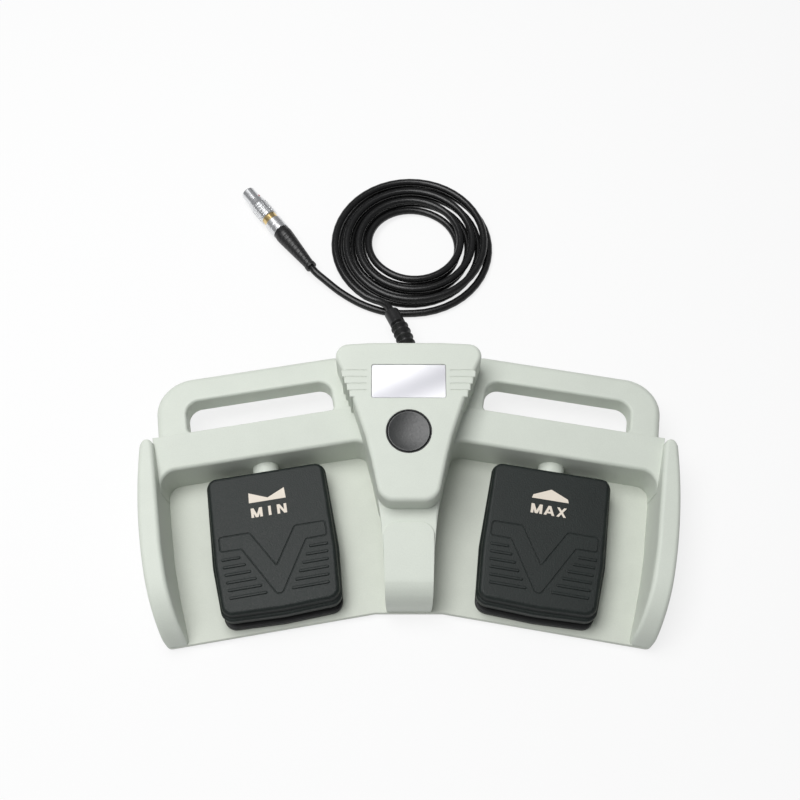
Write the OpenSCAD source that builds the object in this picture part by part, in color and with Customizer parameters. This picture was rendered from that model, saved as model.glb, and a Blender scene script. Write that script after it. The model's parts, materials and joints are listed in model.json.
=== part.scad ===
// Double foot switch: two turned wings with hand loops, a raised console between
// them, two hinged pedals in open trays and a cable in a loose coil behind.

/* [Wings and trays] */
// Turn of each wing about the upright axis, degrees
wing_angle = 10; // [8:1:12]
// Half width of the centre ridge where it is narrowest
ridge_half = 37.2; // [35:0.2:39]
// Width of a tray at its rear
tray_width = 146.4; // [142:0.2:152]
// Depth of a tray from the bridge to the front edge
tray_depth = 117; // [115:1:122]
// Radius of the rear corners of a tray
tray_corner = 9.5; // [6:0.5:13]
// Thickness of the base tray under the pedals
floor_thick = 4; // [3.5:0.5:6]
// Height of the rubber feet below the base tray
foot_height = 1.5; // [1:0.5:4]

/* [Guard walls] */
// Thickness of an outer guard wall at its foot
guard_thick = 17; // [14:0.2:20]
// Height of a guard wall above the tray floor
guard_height = 36.5; // [33:0.5:42]
// How far a guard wall bows outward
guard_bow = 7; // [3:0.5:9]

/* [Bridge and hand loops] */
// Depth of the bridge from its rear crease to the tray
bridge_depth = 26.5; // [24:0.5:30]
// Height of the bridge above the tray floor at its front edge
bridge_height = 26.5; // [24:0.5:29]
// Rise of the bridge from its front edge to its rear crease
bridge_rise = 6; // [3:0.5:8]
// Length of a hand slot
slot_length = 106; // [94:1:110]
// Depth of a hand slot from front to rear
slot_depth = 26; // [23:1:30]
// Width of the rear bar of a hand loop
bar_width = 20.5; // [18:0.5:23]
// Thickness of a hand loop
bar_thick = 18; // [14:0.5:20]
// Radius of the outer rear corner of a hand loop
loop_corner = 27; // [20:1:30]

/* [Console] */
// Width of the console at its rear
console_width = 113.5; // [110:0.5:117]
// Length of the console from its rear edge to its nose
console_length = 117; // [114:1:120]
// Height of the console above the tray floor at its nose
nose_height = 48.5; // [46:0.5:54]
// Rise of the console from its nose to its rear edge
console_rise = 12.5; // [9:0.5:15]
// Thickness of the housing walls
wall = 3.4; // [2.8:0.2:4.2]
// Width of the name plate
plate_width = 52.6; // [44:0.2:56]
// Depth of the name plate
plate_depth = 25.4; // [20:0.2:27]

/* [Mode button] */
// Diameter of the button
button_size = 29.8; // [24:0.2:31]
// Travel of the button
button_travel = 2.5; // [1.5:0.5:3.5]

/* [Pedals] */
// Width of a pedal across its skirt
pedal_width = 88; // [80:1:92]
// Length of a pedal along its skirt
pedal_length = 104; // [100:1:107]
// Height of the top of a pedal above the tray floor
pedal_height = 22.5; // [21.5:0.5:26]
// Travel of a pedal about its hinge, degrees
pedal_travel = 2.4; // [1.6:0.2:2.8]
// Diameter of a hinge pin
pin_size = 5; // [4:0.5:6]

/* [Cable] */
// Diameter of the cable
cable_size = 6; // [5:0.5:6]
// Diameter of the plug
plug_size = 15; // [13:0.5:16]

/* [Hidden] */

$fn = 48;
over = 1;
mate = 0.3;
run = 0.05;
tiny = 0.05;

// Distance from the middle of the outline back to the pivot of the wings
pivot_back = 85;

// Heights above the surface that the object stands on
rim_low = foot_height;
floor_high = rim_low + floor_thick;
bridge_front_high = floor_high + bridge_height;
crease_high = bridge_front_high + bridge_rise;
guard_high = floor_high + guard_height;
nose_high = floor_high + nose_height;

// Places along a wing: outward from the middle plane, and back from the pivot
crease_back = -17.5;
tray_back = crease_back - bridge_depth;
wing_front = tray_back - tray_depth;
tray_in = ridge_half*1.056;
tray_out = tray_in + tray_width;
bow_back = -85;
bow_reach = 76;
ridge_bow = 7;
tray_taper = 5.8;
taper_back = -95;

// Distance of the tray's inner side from the middle plane
function ridge_side(b) = ridge_half + ridge_bow*pow((b - bow_back)/bow_reach, 2);
// Distance of the tray's outer side from the middle plane
function tray_side(b) = tray_out - tray_taper*pow(max(0, taper_back - b)/(taper_back - wing_front), 1.5);
// Distance of the guard wall's outer face from the middle plane
function guard_side(b) = tray_out + guard_thick - guard_bow*pow((b - bow_back)/bow_reach, 2);

function unit(p) = p/norm(p);
function blend(a, b, share) = a + (b - a)*share;

// Arc that rounds corner b of the run a, b, c, after both edges move inward by d;
// a corner is [x, y, radius, steps], and with no steps it stays a sharp point
function corner_arc(a, b, c, d) =
    let (u = unit([b.x - a.x, b.y - a.y]), v = unit([c.x - b.x, c.y - b.y]),
        p = [-u.y, u.x], q = [-v.y, v.x],
        turn = atan2(u.x*v.y - u.y*v.x, u*v),
        side = turn < 0 ? -1 : 1,
        r = max(b[2] - side*d, tiny),
        middle = [b.x, b.y] + (p + q)/(1 + p*q)*(d + side*r),
        start = atan2(p.y, p.x))
    b[3] == 0 ? [[b.x, b.y] + (p + q)/(1 + p*q)*d]
        : [for (k = [0:b[3]]) middle - side*r*[cos(start + turn*k/b[3]), sin(start + turn*k/b[3])]];

// Rounded outline of a list of corners, moved inward by d
function outline(corners, d) = let (n = len(corners))
    [for (i = [0:n - 1]) each corner_arc(corners[(i + n - 1) % n], corners[i], corners[(i + 1) % n], d)];

// Corners of the right half, followed by their mirror images in reverse
function mirrored(corners) = concat(corners,
    [for (i = [len(corners) - 1:-1:0]) if (corners[i].x > tiny) [-corners[i].x, corners[i].y, corners[i][2], corners[i][3]]]);

// A level is [inset, plane, drop]; a plane is [height at the origin, rise along x, rise along y]
function flat(z) = [z, 0, 0];
function height_on(plane, p) = plane[0] + plane[1]*p.x + plane[2]*p.y;
function ring(corners, level) =
    [for (p = outline(corners, level[0])) [p.x, p.y, height_on(level[1], p) - level[2]]];

// Quarter-round edge below a plane, where way is 1 on a solid and -1 in a cut
function top_round(plane, r, steps, way, base) =
    [for (k = [0:steps]) [base + way*r*(1 - cos(90*k/steps)), plane, r*(1 - sin(90*k/steps))]];
// Quarter-round edge above a plane
function low_round(plane, r, steps, way, base) =
    [for (k = [0:steps]) [base + way*r*(1 - sin(90*k/steps)), plane, -r*(1 - cos(90*k/steps))]];

// Solid through rings of equal count, each anticlockwise about the way they advance
module skin(rings) {
    n = len(rings[0]);
    last = len(rings) - 1;
    polyhedron(
        points = [for (r = rings) each r],
        faces = concat(
            [[for (i = [0:n - 1]) i]],
            [for (j = [0:last - 1], i = [0:n - 1])
                [j*n + i, (j + 1)*n + i, (j + 1)*n + (i + 1) % n, j*n + (i + 1) % n]],
            [[for (i = [n - 1:-1:0]) last*n + i]]),
        convexity = 8);
}

module stack(corners, levels) {
    skin([for (level = levels) ring(corners, level)]);
}

module plate(corners, low, high, inset = 0) {
    translate([0, 0, low]) linear_extrude(high - low) polygon(outline(corners, inset));
}

// Frames: the part stands over its own middle, each wing turns about the pivot
module stand() {
    translate([0, pivot_back, 0]) children();
}
module both() {
    children();
    mirror([1, 0, 0]) children();
}
module wing() {
    rotate(-wing_angle) children();
}
module pedal_place(side) {
    stand() mirror([side < 0 ? 1 : 0, 0, 0]) wing() translate([pedal_mid, 0, 0]) children();
}
// Profile drawn in [depth, height], extruded along the width between two places
module across(from, to) {
    translate([from, 0, 0]) rotate([90, 0, 90]) linear_extrude(to - from) children();
}

// Tray: open at its front, with rounded rear corners
side_steps = 5;
soft_round = 60;
function tray_corners(front, steps, set = 0) = concat(
    [[ridge_side(front), front, 0, 0], [tray_side(front) - set, front, 0, 0]],
    [for (k = [1:1:steps - 1]) let (b = blend(front, tray_back, k/steps)) [tray_side(b) - set, b, 0, 0]],
    [[tray_out - set, tray_back, tray_corner, 6], [ridge_side(tray_back), tray_back, tray_corner, 6]],
    [for (k = [steps - 1:-1:1]) let (b = blend(front, tray_back, k/steps)) [ridge_side(b), b, 0, 0]]);

bridge_plane = [crease_high - crease_back*bridge_rise/bridge_depth, 0, bridge_rise/bridge_depth];
tray_lean = 1.8;
bridge_edge = 2.2;
bridge_cut_front = tray_back - 1.3*tray_corner;
bridge_set = 0.4;
bridge_end = tray_out + guard_thick*0.18;

// The housing's forms start below the base tray's top, and one cut trims them level with it
foot_low = floor_high - over;
trim_low = floor_high - 3*over;
module trim() {
    translate([-console_length - tray_out, -console_length - tray_out, trim_low])
        cube([2*(console_length + tray_out), 2*(console_length + tray_out), floor_high - trim_low]);
}

// Tray space cut out of the bridge, widening upward and rounding the bridge's front edge
module bridge_cut() {
    stack(tray_corners(bridge_cut_front - 2*bridge_edge, 1, bridge_set), concat(
        [[0, flat(trim_low), 0]],
        top_round(bridge_plane, bridge_edge, 3, -1, -tray_lean),
        [[-tray_lean - bridge_edge, flat(guard_high + over), 0]]));
}
// Tray space cut out of the centre ridge
module ridge_cut() {
    stack(tray_corners(wing_front - 2*lip_reach, side_steps), [
        [0, flat(trim_low), 0],
        [-tray_lean, flat(crease_high + over), 0]]);
}

module bridge_blocks() {
    difference() {
        both() wing() across(0, bridge_end)
            polygon([[crease_back, foot_low], [crease_back, crease_high],
                [bridge_cut_front, height_on(bridge_plane, [0, bridge_cut_front])],
                [bridge_cut_front, foot_low]]);
        both() wing() bridge_cut();
    }
}

// Guard wall: its section is swept from the front tip to the rounded rear end
guard_tip = 4.5;
guard_fall = 43;
guard_sag = 1.5;
guard_edge = 3.2;
guard_gap = 2.1;
guard_back = crease_back - guard_gap;
guard_low = 3.5;
guard_slant = 2.6;
guard_lip = 0.8;
function guard_top(b) = let (t = (wing_front + guard_fall - b)/guard_fall)
    t > 0 ? floor_high - guard_low + (guard_height + guard_low - guard_sag)*sqrt(max(0, 1 - t*t))
        : guard_high - guard_sag*(guard_back - b)/(guard_back - wing_front - guard_fall);
// Distance by which the ends of the wall draw in, in plan
function guard_draw(b) = let (t = max(0, 1 - min(b - wing_front, guard_back - b)/guard_tip))
    guard_tip*(1 - sqrt(max(0, 1 - t*t)))*0.7;
function guard_ring(b) = let (
        high = max(guard_top(b), floor_high + guard_lip),
        lean_share = (high - floor_high)/guard_height,
        in_low = tray_side(b) + guard_draw(b),
        in_high = in_low + guard_slant*lean_share,
        out_low = guard_side(b) - guard_draw(b),
        out_high = out_low - tiny,
        edge = min(guard_edge, (high - floor_high)*0.6, (out_high - in_high)*0.4))
    concat([[in_low, b, foot_low]],
        [for (k = [0:3]) [in_high + edge*(1 - cos(30*k)), b, high - edge*(1 - sin(30*k))]],
        [for (k = [3:-1:0]) [out_high - edge*(1 - cos(30*k)), b, high - edge*(1 - sin(30*k))]],
        [[out_low, b, foot_low]]);
guard_places = concat(
    [for (k = [0:8]) wing_front + guard_fall*(1 - cos(90*k/8))],
    [for (k = [1:5]) blend(wing_front + guard_fall, guard_back - guard_tip, k/5)],
    [for (k = [1:4]) guard_back - guard_tip*(1 - sin(90*k/4))]);
module guard_wall() {
    skin([for (b = guard_places) guard_ring(b)]);
}

// Hand loop: a flat bar frame with a rounded slot
loop_edge = 5;
loop_under = 4;
slot_edge = 2.5;
loop_fall = 3.5;
slot_corner_rear = 10;
slot_corner_front = 4.5;
loop_back = crease_back + slot_depth + bar_width;
loop_set = 0.6;
loop_side_wide = 21.5;
loop_side = tray_out - loop_set;
slot_side = loop_side - loop_side_wide;
loop_drop = 2;
loop_low = crease_high - bar_thick - loop_drop;
loop_step = 0.3;
loop_plane = [crease_high - loop_step + crease_back*loop_fall/(loop_back - crease_back), 0,
    -loop_fall/(loop_back - crease_back)];
slot_clear = 0.15;
slot_plane = [loop_plane[0] + slot_clear, 0, loop_plane[2]];
loop_in =console_width*0.31;
loop_in_corner = 8;
loop_corners = [
    [loop_in, crease_back - loop_edge, 0, 0],
    [loop_side, crease_back - loop_edge, 0, 0],
    [loop_side, loop_back, loop_corner, 10],
    [loop_in + bar_width*0.7, loop_back, loop_in_corner, 4],
    [loop_in, loop_back - bar_width*0.7, 0, 0]];
slot_corners = [
    [slot_side - slot_length, crease_back + tiny, slot_corner_front, 4],
    [slot_side, crease_back + tiny, slot_corner_front, 4],
    [slot_side, crease_back + slot_depth, slot_corner_rear, 6],
    [slot_side - slot_length, crease_back + slot_depth, slot_corner_rear, 6]];
module hand_loop() {
    difference() {
        stack(loop_corners, concat(
            low_round(flat(loop_low), loop_under, 3, 1, 0),
            top_round(loop_plane, loop_edge, 4, 1, 0)));
        stack(slot_corners, concat(
            [[-slot_edge, flat(loop_low - over), 0]],
            low_round(flat(loop_low), slot_edge, 2, -1, 0),
            top_round(slot_plane, slot_edge, 2, -1, 0),
            [[-slot_edge, flat(crease_high + over), 0]]));
    }
}

// Centre ridge with the raised pad in front of the console
console_back = 13.2;
nose_back = console_back - console_length;
lip_reach = 6.6;
lip_show = 5.9;
lip_back = wing_front - lip_reach;
ridge_front = lip_back + lip_show;
web_high = crease_high;
pad_gap = 9.5;
pad_back = nose_back - pad_gap;
pad_raise = 0.8;
pad_fall = 2.6;
pad_bend = 16;
pad_drop = 19;
pad_half = ridge_half*0.47;
ridge_block = ridge_half*0.7;
pad_corner = 9.5;
function ridge_profile(raise) = concat(
    [[tray_back, foot_low], [tray_back, web_high + raise], [nose_back, web_high + raise]],
    [for (k = [0:6]) [ridge_front + pad_bend*(1 - sin(15*k)),
        web_high + raise - pad_fall - pad_drop*(1 - cos(15*k))]],
    [[ridge_front, foot_low]]);
pad_corners = mirrored([
    [pad_half, ridge_front - over, 0, 0],
    [pad_half*1.12, pad_back, pad_corner, 6]]);
module centre_ridge() {
    difference() {
        union() {
            across(-ridge_block, ridge_block) polygon(ridge_profile(0));
            intersection() {
                across(-ridge_block, ridge_block) polygon(ridge_profile(pad_raise));
                plate(pad_corners, trim_low, nose_high);
            }
        }
        both() wing() ridge_cut();
    }
}

// Console: outline from the nose back along its right side, as shares of half width and length
console_shares = [[0.346, 1], [0.391, 0.905], [0.462, 0.742], [0.54, 0.595], [0.695, 0.368], [0.84, 0.184]];
rear_share = 0.984;
console_edge = 3;
rear_slant = 8;
nose_round = 12;
rear_round = 9;
half = console_width/2;
function console_outline(slant) = mirrored(concat(
    [for (i = [0:len(console_shares) - 1]) let (s = console_shares[i])
        [half*s.x, console_back - console_length*s.y, i == 0 ? nose_round : 0, i == 0 ? 6 : 0]],
    [[half, console_back + slant - console_length*(1 - rear_share), rear_round, 6],
        [half*0.45, console_back + slant, soft_round, 2]]));
console_slope = console_rise/console_length;
console_plane = [nose_high - nose_back*console_slope, 0, console_slope];
console_tilt = atan(console_slope);
// Frame on the sloping top of the console, a distance back from the pivot
module on_console(b) {
    translate([0, b, height_on(console_plane, [0, b])]) rotate([console_tilt, 0, 0]) children();
}
module console_block() {
    skin(concat(
        [ring(console_outline(rear_slant), [0, flat(foot_low), 0])],
        [for (level = top_round(console_plane, console_edge, 4, 1, 0)) ring(console_outline(0), level)]));
}
module console_hollow() {
    skin([
        ring(console_outline(rear_slant), [wall, flat(trim_low), 0]),
        ring(console_outline(0), [wall, console_plane, wall])]);
}

// Louvres: four teeth down each side of the console
louvre_count = 4;
louvre_rise = 1.8;
louvre_sink = 0.8;
louvre_round = 0.4;
louvre_run_shares = [0.03, 0.96];
function louvre_at(k) = let (a = console_shares[5], c = console_shares[4],
        s = blend(louvre_run_shares[0], louvre_run_shares[1], k/louvre_count))
    [half*blend(a.x, c.x, s), console_back - console_length*blend(a.y, c.y, s)];
module louvre_teeth() {
    both() for (k = [0:louvre_count - 1]) {
        rear = louvre_at(k);
        front = louvre_at(k + 1);
        stack([
                [front.x - wall, front.y, 0, 0],
                [front.x + louvre_rise, front.y, louvre_round, 2],
                [rear.x + 0.2*louvre_rise, rear.y, 0, 0],
                [rear.x - wall, rear.y, 0, 0]],
            [[0, flat(crease_high - wall), 0], [0, console_plane, louvre_sink]]);
    }
}

// Name plate, button and board: depths below the console's sloping top
plate_back = -17.1;
plate_sink = 0.3;
plate_thick = 0.9;
plate_corner = 1.5;
button_back = -54.3;
button_ring_wide = 0.8;
button_ring_deep = 1.2;
button_gap = 0.35;
flange_wide = 1.7;
flange_thick = 2;
flange_top = wall + mate;
stem_size = 9;
stem_drop = 4;
stem_low = flange_top + flange_thick + stem_drop;
stem_gap = 0.2;
plunger_top = stem_low + button_travel + stem_gap;
switch_high = 6;
plunger_high = 1.2;
board_top = plunger_top + plunger_high + switch_high;
board_thick = 1.6;
board_width = 40;
header_high = 5;
board_length = 50;
post_in = 4;
post_size = 6;
board_screw = 3;
board_head = 2;
post_places = [for (x = [-1, 1], y = [-1, 1]) [x*(board_width/2 - post_in), y*(board_length/2 - post_in)]];

// Cable entry in the rear wall
cable_high = 24;
entry_size = 12;

// Places of the screws and feet, along a wing
screw_size = 4;
screw_head = 7.6;
head_deep = 2.3;
screw_reach = 12;
screw_places = [
    [blend(slot_side - slot_length, slot_side, 0.17), blend(crease_back, tray_back, 0.2)],
    [blend(slot_side - slot_length, slot_side, 0.9), blend(crease_back, tray_back, 0.2)],
    [tray_out + guard_thick/2, bow_back]];
nose_screw = blend(pad_back, ridge_front, 0.6);
foot_size = 13;
foot_sink = 1;
foot_places = [
    [tray_out + guard_thick*0.3, wing_front + foot_size*1.1],
    [slot_side, blend(crease_back, tray_back, 0.5)],
    [slot_side - slot_length, blend(crease_back, tray_back, 0.5)]];

// Wire way through the bridge, and the duct that it leaves by
duct_size = 19;
duct_seat = 8;
wire_way = 9;
wire_cross = 6;
pedal_shift = 1;
pedal_mid = (tray_in + tray_out)/2 + pedal_shift;
pedal_gap = 6.8;
pedal_back = tray_back - pedal_gap;
duct_sink = 2.5;
duct_high = floor_high + duct_size/2 - duct_sink;

module upper_housing() {
    color([0.84, 0.86, 0.82]) stand() difference() {
        union() {
            difference() {
                union() {
                    bridge_blocks();
                    centre_ridge();
                    console_block();
                    louvre_teeth();
                    both() wing() guard_wall();
                    both() wing() hand_loop();
                }
                console_hollow();
            }
            on_console(button_back) for (p = post_places)
                translate([p.x, p.y, -board_top]) cylinder(h = board_top - wall/2, d = post_size);
        }
        trim();
        on_console(plate_back) translate([-plate_width/2, -plate_depth/2, -plate_thick - plate_sink])
            cube([plate_width, plate_depth, wall]);
        on_console(button_back) {
            translate([0, 0, -wall - over]) cylinder(h = wall + 2*over, d = button_size + 2*button_gap);
            translate([0, 0, -button_ring_deep])
                cylinder(h = wall, d = button_size + 2*button_gap + 2*button_ring_wide);
            for (p = post_places)
                translate([p.x, p.y, -board_top - over]) cylinder(h = board_top - wall, d = board_screw + 2*run);
        }
        translate([0, nose_back, cable_high]) rotate([-90, 0, 0])
            translate([0, 0, console_length - 2*wall]) cylinder(h = 2*wall + rear_slant, d = entry_size);
        both() wing() {
            translate([pedal_mid, tray_back - 2*over, duct_high]) rotate([-90, 0, 0])
                cylinder(h = 2*over + duct_seat, d = duct_size + 2*run);
            translate([pedal_mid, tray_back, duct_high]) rotate([-90, 0, 0])
                cylinder(h = bridge_depth/2, d = wire_way);
            translate([tray_in - wall, tray_back + bridge_depth/2 - wire_cross, duct_high]) rotate([0, 90, 0])
                cylinder(h = pedal_mid - tray_in + wall, d = wire_cross);
            for (p = screw_places)
                translate([p.x, p.y, floor_high - over]) cylinder(h = screw_reach + over, d = screw_size + 2*run);
        }
        translate([0, nose_screw, floor_high - over]) cylinder(h = screw_reach + over, d = screw_size + 2*run);
    }
}

// Base tray: full outline of the object, without the hand loops
wing_corners = concat(
    [[guard_side(wing_front), wing_front, guard_tip, 4]],
    [for (k = [1:4]) let (b = blend(wing_front, guard_back, k/5)) [guard_side(b), b, 0, 0]],
    [[guard_side(guard_back), guard_back, guard_tip, 4], [bridge_end, guard_back, 0, 0],
        [bridge_end, crease_back, 0, 0]]);
// Corners of a wing, seen from the middle plane
function turned(corners) = [for (p = corners) [p.x*cos(wing_angle) + p.y*sin(wing_angle),
    p.y*cos(wing_angle) - p.x*sin(wing_angle), p[2], p[3]]];
lip_half = (wing_front - lip_back*cos(wing_angle))/sin(wing_angle);
plan_corners = mirrored(concat([[lip_half, lip_back, 0, 0]], turned(wing_corners),
    [[0, crease_back/cos(wing_angle), 0, 0]]));
module base_plate() {
    plate(plan_corners, rim_low, floor_high);
    plate(console_outline(rear_slant), rim_low, floor_high);
}
seal_wide = 2;
seal_deep = 1.2;
seal_set = 0.8;
module seal_ring() {
    difference() {
        polygon(outline(console_outline(rear_slant), wall - seal_set - seal_wide));
        polygon(outline(console_outline(rear_slant), wall - seal_set));
    }
}
module base_tray() {
    color([0.76, 0.79, 0.74]) stand() difference() {
        base_plate();
        translate([0, 0, floor_high - seal_deep]) linear_extrude(seal_deep + over) seal_ring();
        both() wing() {
            for (p = screw_places)
                translate([p.x, p.y, rim_low - over]) {
                    cylinder(h = floor_thick + 2*over, d = screw_size + 2*run);
                    cylinder(h = over + head_deep, d = screw_head + 4*run);
                }
            for (p = foot_places)
                translate([p.x, p.y, rim_low - over]) cylinder(h = over + foot_sink, d = foot_size);
            for (p = pedal_screw_places)
                translate([pedal_mid + p.x, p.y, floor_high - pedal_screw_reach])
                    cylinder(h = pedal_screw_reach + over, d = screw_size + 2*run);
        }
        translate([0, nose_screw, rim_low - over]) {
            cylinder(h = floor_thick + 2*over, d = screw_size + 2*run);
            cylinder(h = over + head_deep, d = screw_head + 4*run);
        }
    }
}

module base_seal() {
    color([0.15, 0.15, 0.16]) stand()
        translate([0, 0, floor_high - seal_deep]) linear_extrude(seal_deep) seal_ring();
}

module rubber_feet() {
    color([0.13, 0.13, 0.13]) stand() both() wing() for (p = foot_places)
        translate([p.x, p.y, 0]) {
            cylinder(h = foot_height/2, d1 = foot_size - foot_height, d2 = foot_size);
            translate([0, 0, foot_height/2]) cylinder(h = foot_height/2 + foot_sink, d = foot_size);
        }
}

module screw(size, head, head_high, reach) {
    cylinder(h = reach, d = size);
    difference() {
        cylinder(h = head_high, d = head);
        translate([0, 0, -over]) cylinder(h = over + head_high/2, d = size*0.7, $fn = 6);
    }
}
module housing_screws() {
    color([0.7, 0.71, 0.72]) stand() {
        both() wing() for (p = screw_places)
            translate([p.x, p.y, rim_low + mate])
                screw(screw_size, screw_head, head_deep - mate, floor_thick + screw_reach - 2*mate);
        translate([0, nose_screw, rim_low + mate])
            screw(screw_size, screw_head, head_deep - mate, floor_thick + screw_reach - 2*mate);
    }
}

module name_plate() {
    color([0.82, 0.83, 0.85]) stand() on_console(plate_back)
        translate([0, 0, -plate_thick - plate_sink]) linear_extrude(plate_thick)
            polygon(outline(mirrored([
                [plate_width/2 - run, -plate_depth/2 + run, plate_corner, 4],
                [plate_width/2 - run, plate_depth/2 - run, plate_corner, 4]]), 0));
}

// Button: a dished cap with a retaining flange and a stem
dish_deep = 1.2;
cap_edge = 0.8;
button_r = button_size/2;
dish_ball = (button_r*button_r + dish_deep*dish_deep)/(2*dish_deep);
module mode_button() {
    color([0.14, 0.15, 0.15]) stand() on_console(button_back) difference() {
        rotate_extrude($fn = 72) polygon(concat(
            [[0, -stem_low], [stem_size/2, -stem_low], [stem_size/2, -flange_top - flange_thick],
                [button_r + flange_wide, -flange_top - flange_thick], [button_r + flange_wide, -flange_top],
                [button_r, -flange_top]],
            [for (k = [0:3]) [button_r - cap_edge*(1 - cos(30*k)), cap_edge*(0.4 - 1 + sin(30*k))]],
            [[0, cap_edge*0.4]]));
        translate([0, 0, dish_ball - dish_deep]) sphere(r = dish_ball, $fn = 128);
    }
}
module button_ring() {
    color([0.1, 0.1, 0.11]) stand() on_console(button_back)
        translate([0, 0, -button_ring_deep]) difference() {
            cylinder(h = button_ring_deep, d = button_size + 2*button_gap + 2*button_ring_wide);
            translate([0, 0, -over]) cylinder(h = button_ring_deep + 2*over, d = button_size + 2*button_gap);
        }
}

// Compression spring: a round wire wound on a helix, with its ends closed down
module coil_spring(radius, wire, turns, high) {
    steps = 8;
    rise = high - wire;
    skin([for (k = [0:turns*steps]) let (a = 360*k/steps, z = wire/2 + rise*k/(turns*steps))
        [for (s = [0:5]) let (t = -60*s)
            [(radius + wire/2*cos(t))*cos(a), (radius + wire/2*cos(t))*sin(a), z + wire/2*sin(t)]]]);
}
button_spring_r = 9.2;
button_wire = 1;
module button_spring() {
    color([0.75, 0.75, 0.76]) stand() on_console(button_back)
        translate([0, 0, -board_top + mate])
            coil_spring(button_spring_r, button_wire, 5, board_top - flange_top - flange_thick - 2*mate);
}
module button_switch() {
    color([0.2, 0.2, 0.22]) stand() on_console(button_back) translate([0, 0, -board_top]) {
        translate([-switch_high, -switch_high, 0]) cube([2*switch_high, 2*switch_high, switch_high]);
        cylinder(h = switch_high + plunger_high, d = switch_high*0.6);
    }
}
module control_board() {
    color([0.1, 0.35, 0.2]) stand() on_console(button_back) difference() {
        union() {
            translate([-board_width/2, -board_length/2, -board_top - board_thick])
                cube([board_width, board_length, board_thick]);
            // Cable header on the underside, at the rear edge
            translate([-board_width/4, board_length*0.26, -board_top - board_thick - header_high])
                cube([board_width/2, board_length*0.16, header_high]);
        }
        for (p = post_places) translate([p.x, p.y, -board_top - board_thick - over])
            cylinder(h = board_thick + 2*over, d = board_screw + 2*run);
    }
}
module board_screws() {
    color([0.7, 0.71, 0.72]) stand() on_console(button_back) for (p = post_places)
        translate([p.x, p.y, -board_top - board_thick - board_head])
            screw(board_screw, board_screw*1.8, board_head, board_screw*3);
}

// Pedal outline as shares of half width and length: rear, widest, front
pedal_half = pedal_width/2;
pedal_front = pedal_back - pedal_length;
pedal_widest = blend(pedal_back, pedal_front, 0.62);
function pedal_corners(rear_share, mid_share, front_share, set_rear, set_front, bow, r) = mirrored([
    [0, pedal_front + set_front - bow, soft_round, 2],
    [pedal_half*front_share, pedal_front + set_front, r*1.25, 6],
    [pedal_half*mid_share, pedal_widest, soft_round, 4],
    [pedal_half*rear_share, pedal_back - set_rear, r, 6]]);
front_bow = 1.6;
pedal_top = floor_high + pedal_height;
panel_rise = 5.5;
panel_edge = 3.6;
skirt_edge = 1.6;
skirt_lean = 0.4;
skirt_top = pedal_top - panel_rise;
skirt_wall = 3;
base_thick = 4;
base_high = floor_high + base_thick;
base_gap = 0.5;
pin_set = 8.5;
pin_rise = 9.5;
pin_back = pedal_back - pin_set;
pin_high = floor_high + pin_rise;
pedal_low_plane = [base_high + base_gap + pin_back*tan(pedal_travel), 0, -tan(pedal_travel)];
skirt_corner = 7;
skirt_corners = pedal_corners(0.968, 1, 0.93, 0, 0, front_bow, skirt_corner);
panel_set_rear = 1.2;
panel_set_front = 3.2;
panel_corners = pedal_corners(0.915, 0.9, 0.855, panel_set_rear, panel_set_front, front_bow*0.8, skirt_corner*0.86);
base_show_rear = 0.3;
base_show_front = 1.8;
base_corners = pedal_corners(0.955, 0.985, 0.92, -base_show_rear, -base_show_front, front_bow, skirt_corner);
ear_in = pedal_half*0.75;
ear_thick = 5;
boss_size = 9.4;
pin_reach = pedal_half*0.945;

// Raised relief of the tread, in widths from the pedal's middle and places back from the pivot
tread_back = pedal_widest + pedal_length*0.18;
chevron_half_shares = [[0.84, 0], [0.84, -0.102], [0.507, -0.104], [0, -0.476]];
chevron_notch_shares = [[0, -0.255], [0.357, 0]];
chevron_shares = concat(chevron_notch_shares, chevron_half_shares,
    [for (i = [2:-1:0]) [-chevron_half_shares[i].x, chevron_half_shares[i].y]], [[-0.357, 0]]);
chevron_outline = [for (p = chevron_shares) [p.x*pedal_half, tread_back + p.y*pedal_length]];
line_wide = 0.9;
line_deep = 0.5;
rib_count = 6;
rib_wide = 1.9;
rib_high = 0.7;
rib_out_shares = [0.836, 0.772];
rib_in_shares = [0.54, 0.19];
rib_back_shares = [-0.16, -0.424];
module tread_line() {
    difference() {
        offset(r = line_wide/2, $fn = 24) polygon(chevron_outline);
        offset(r = -line_wide/2, $fn = 24) polygon(chevron_outline);
    }
}
module tread_ribs() {
    both() for (k = [0:rib_count - 1]) {
        s = k/(rib_count - 1);
        out = pedal_half*blend(rib_out_shares[0], rib_out_shares[1], s) - rib_wide/2;
        in = pedal_half*blend(rib_in_shares[0], rib_in_shares[1], s) + rib_wide/2;
        b = tread_back + pedal_length*blend(rib_back_shares[0], rib_back_shares[1], s);
        translate([in, b - rib_wide/2, 0]) cube([out - in, rib_wide, rib_high + over]);
        for (x = [in, out]) translate([x, b, 0]) cylinder(h = rib_high + over, d = rib_wide, $fn = 16);
    }
}
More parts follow.
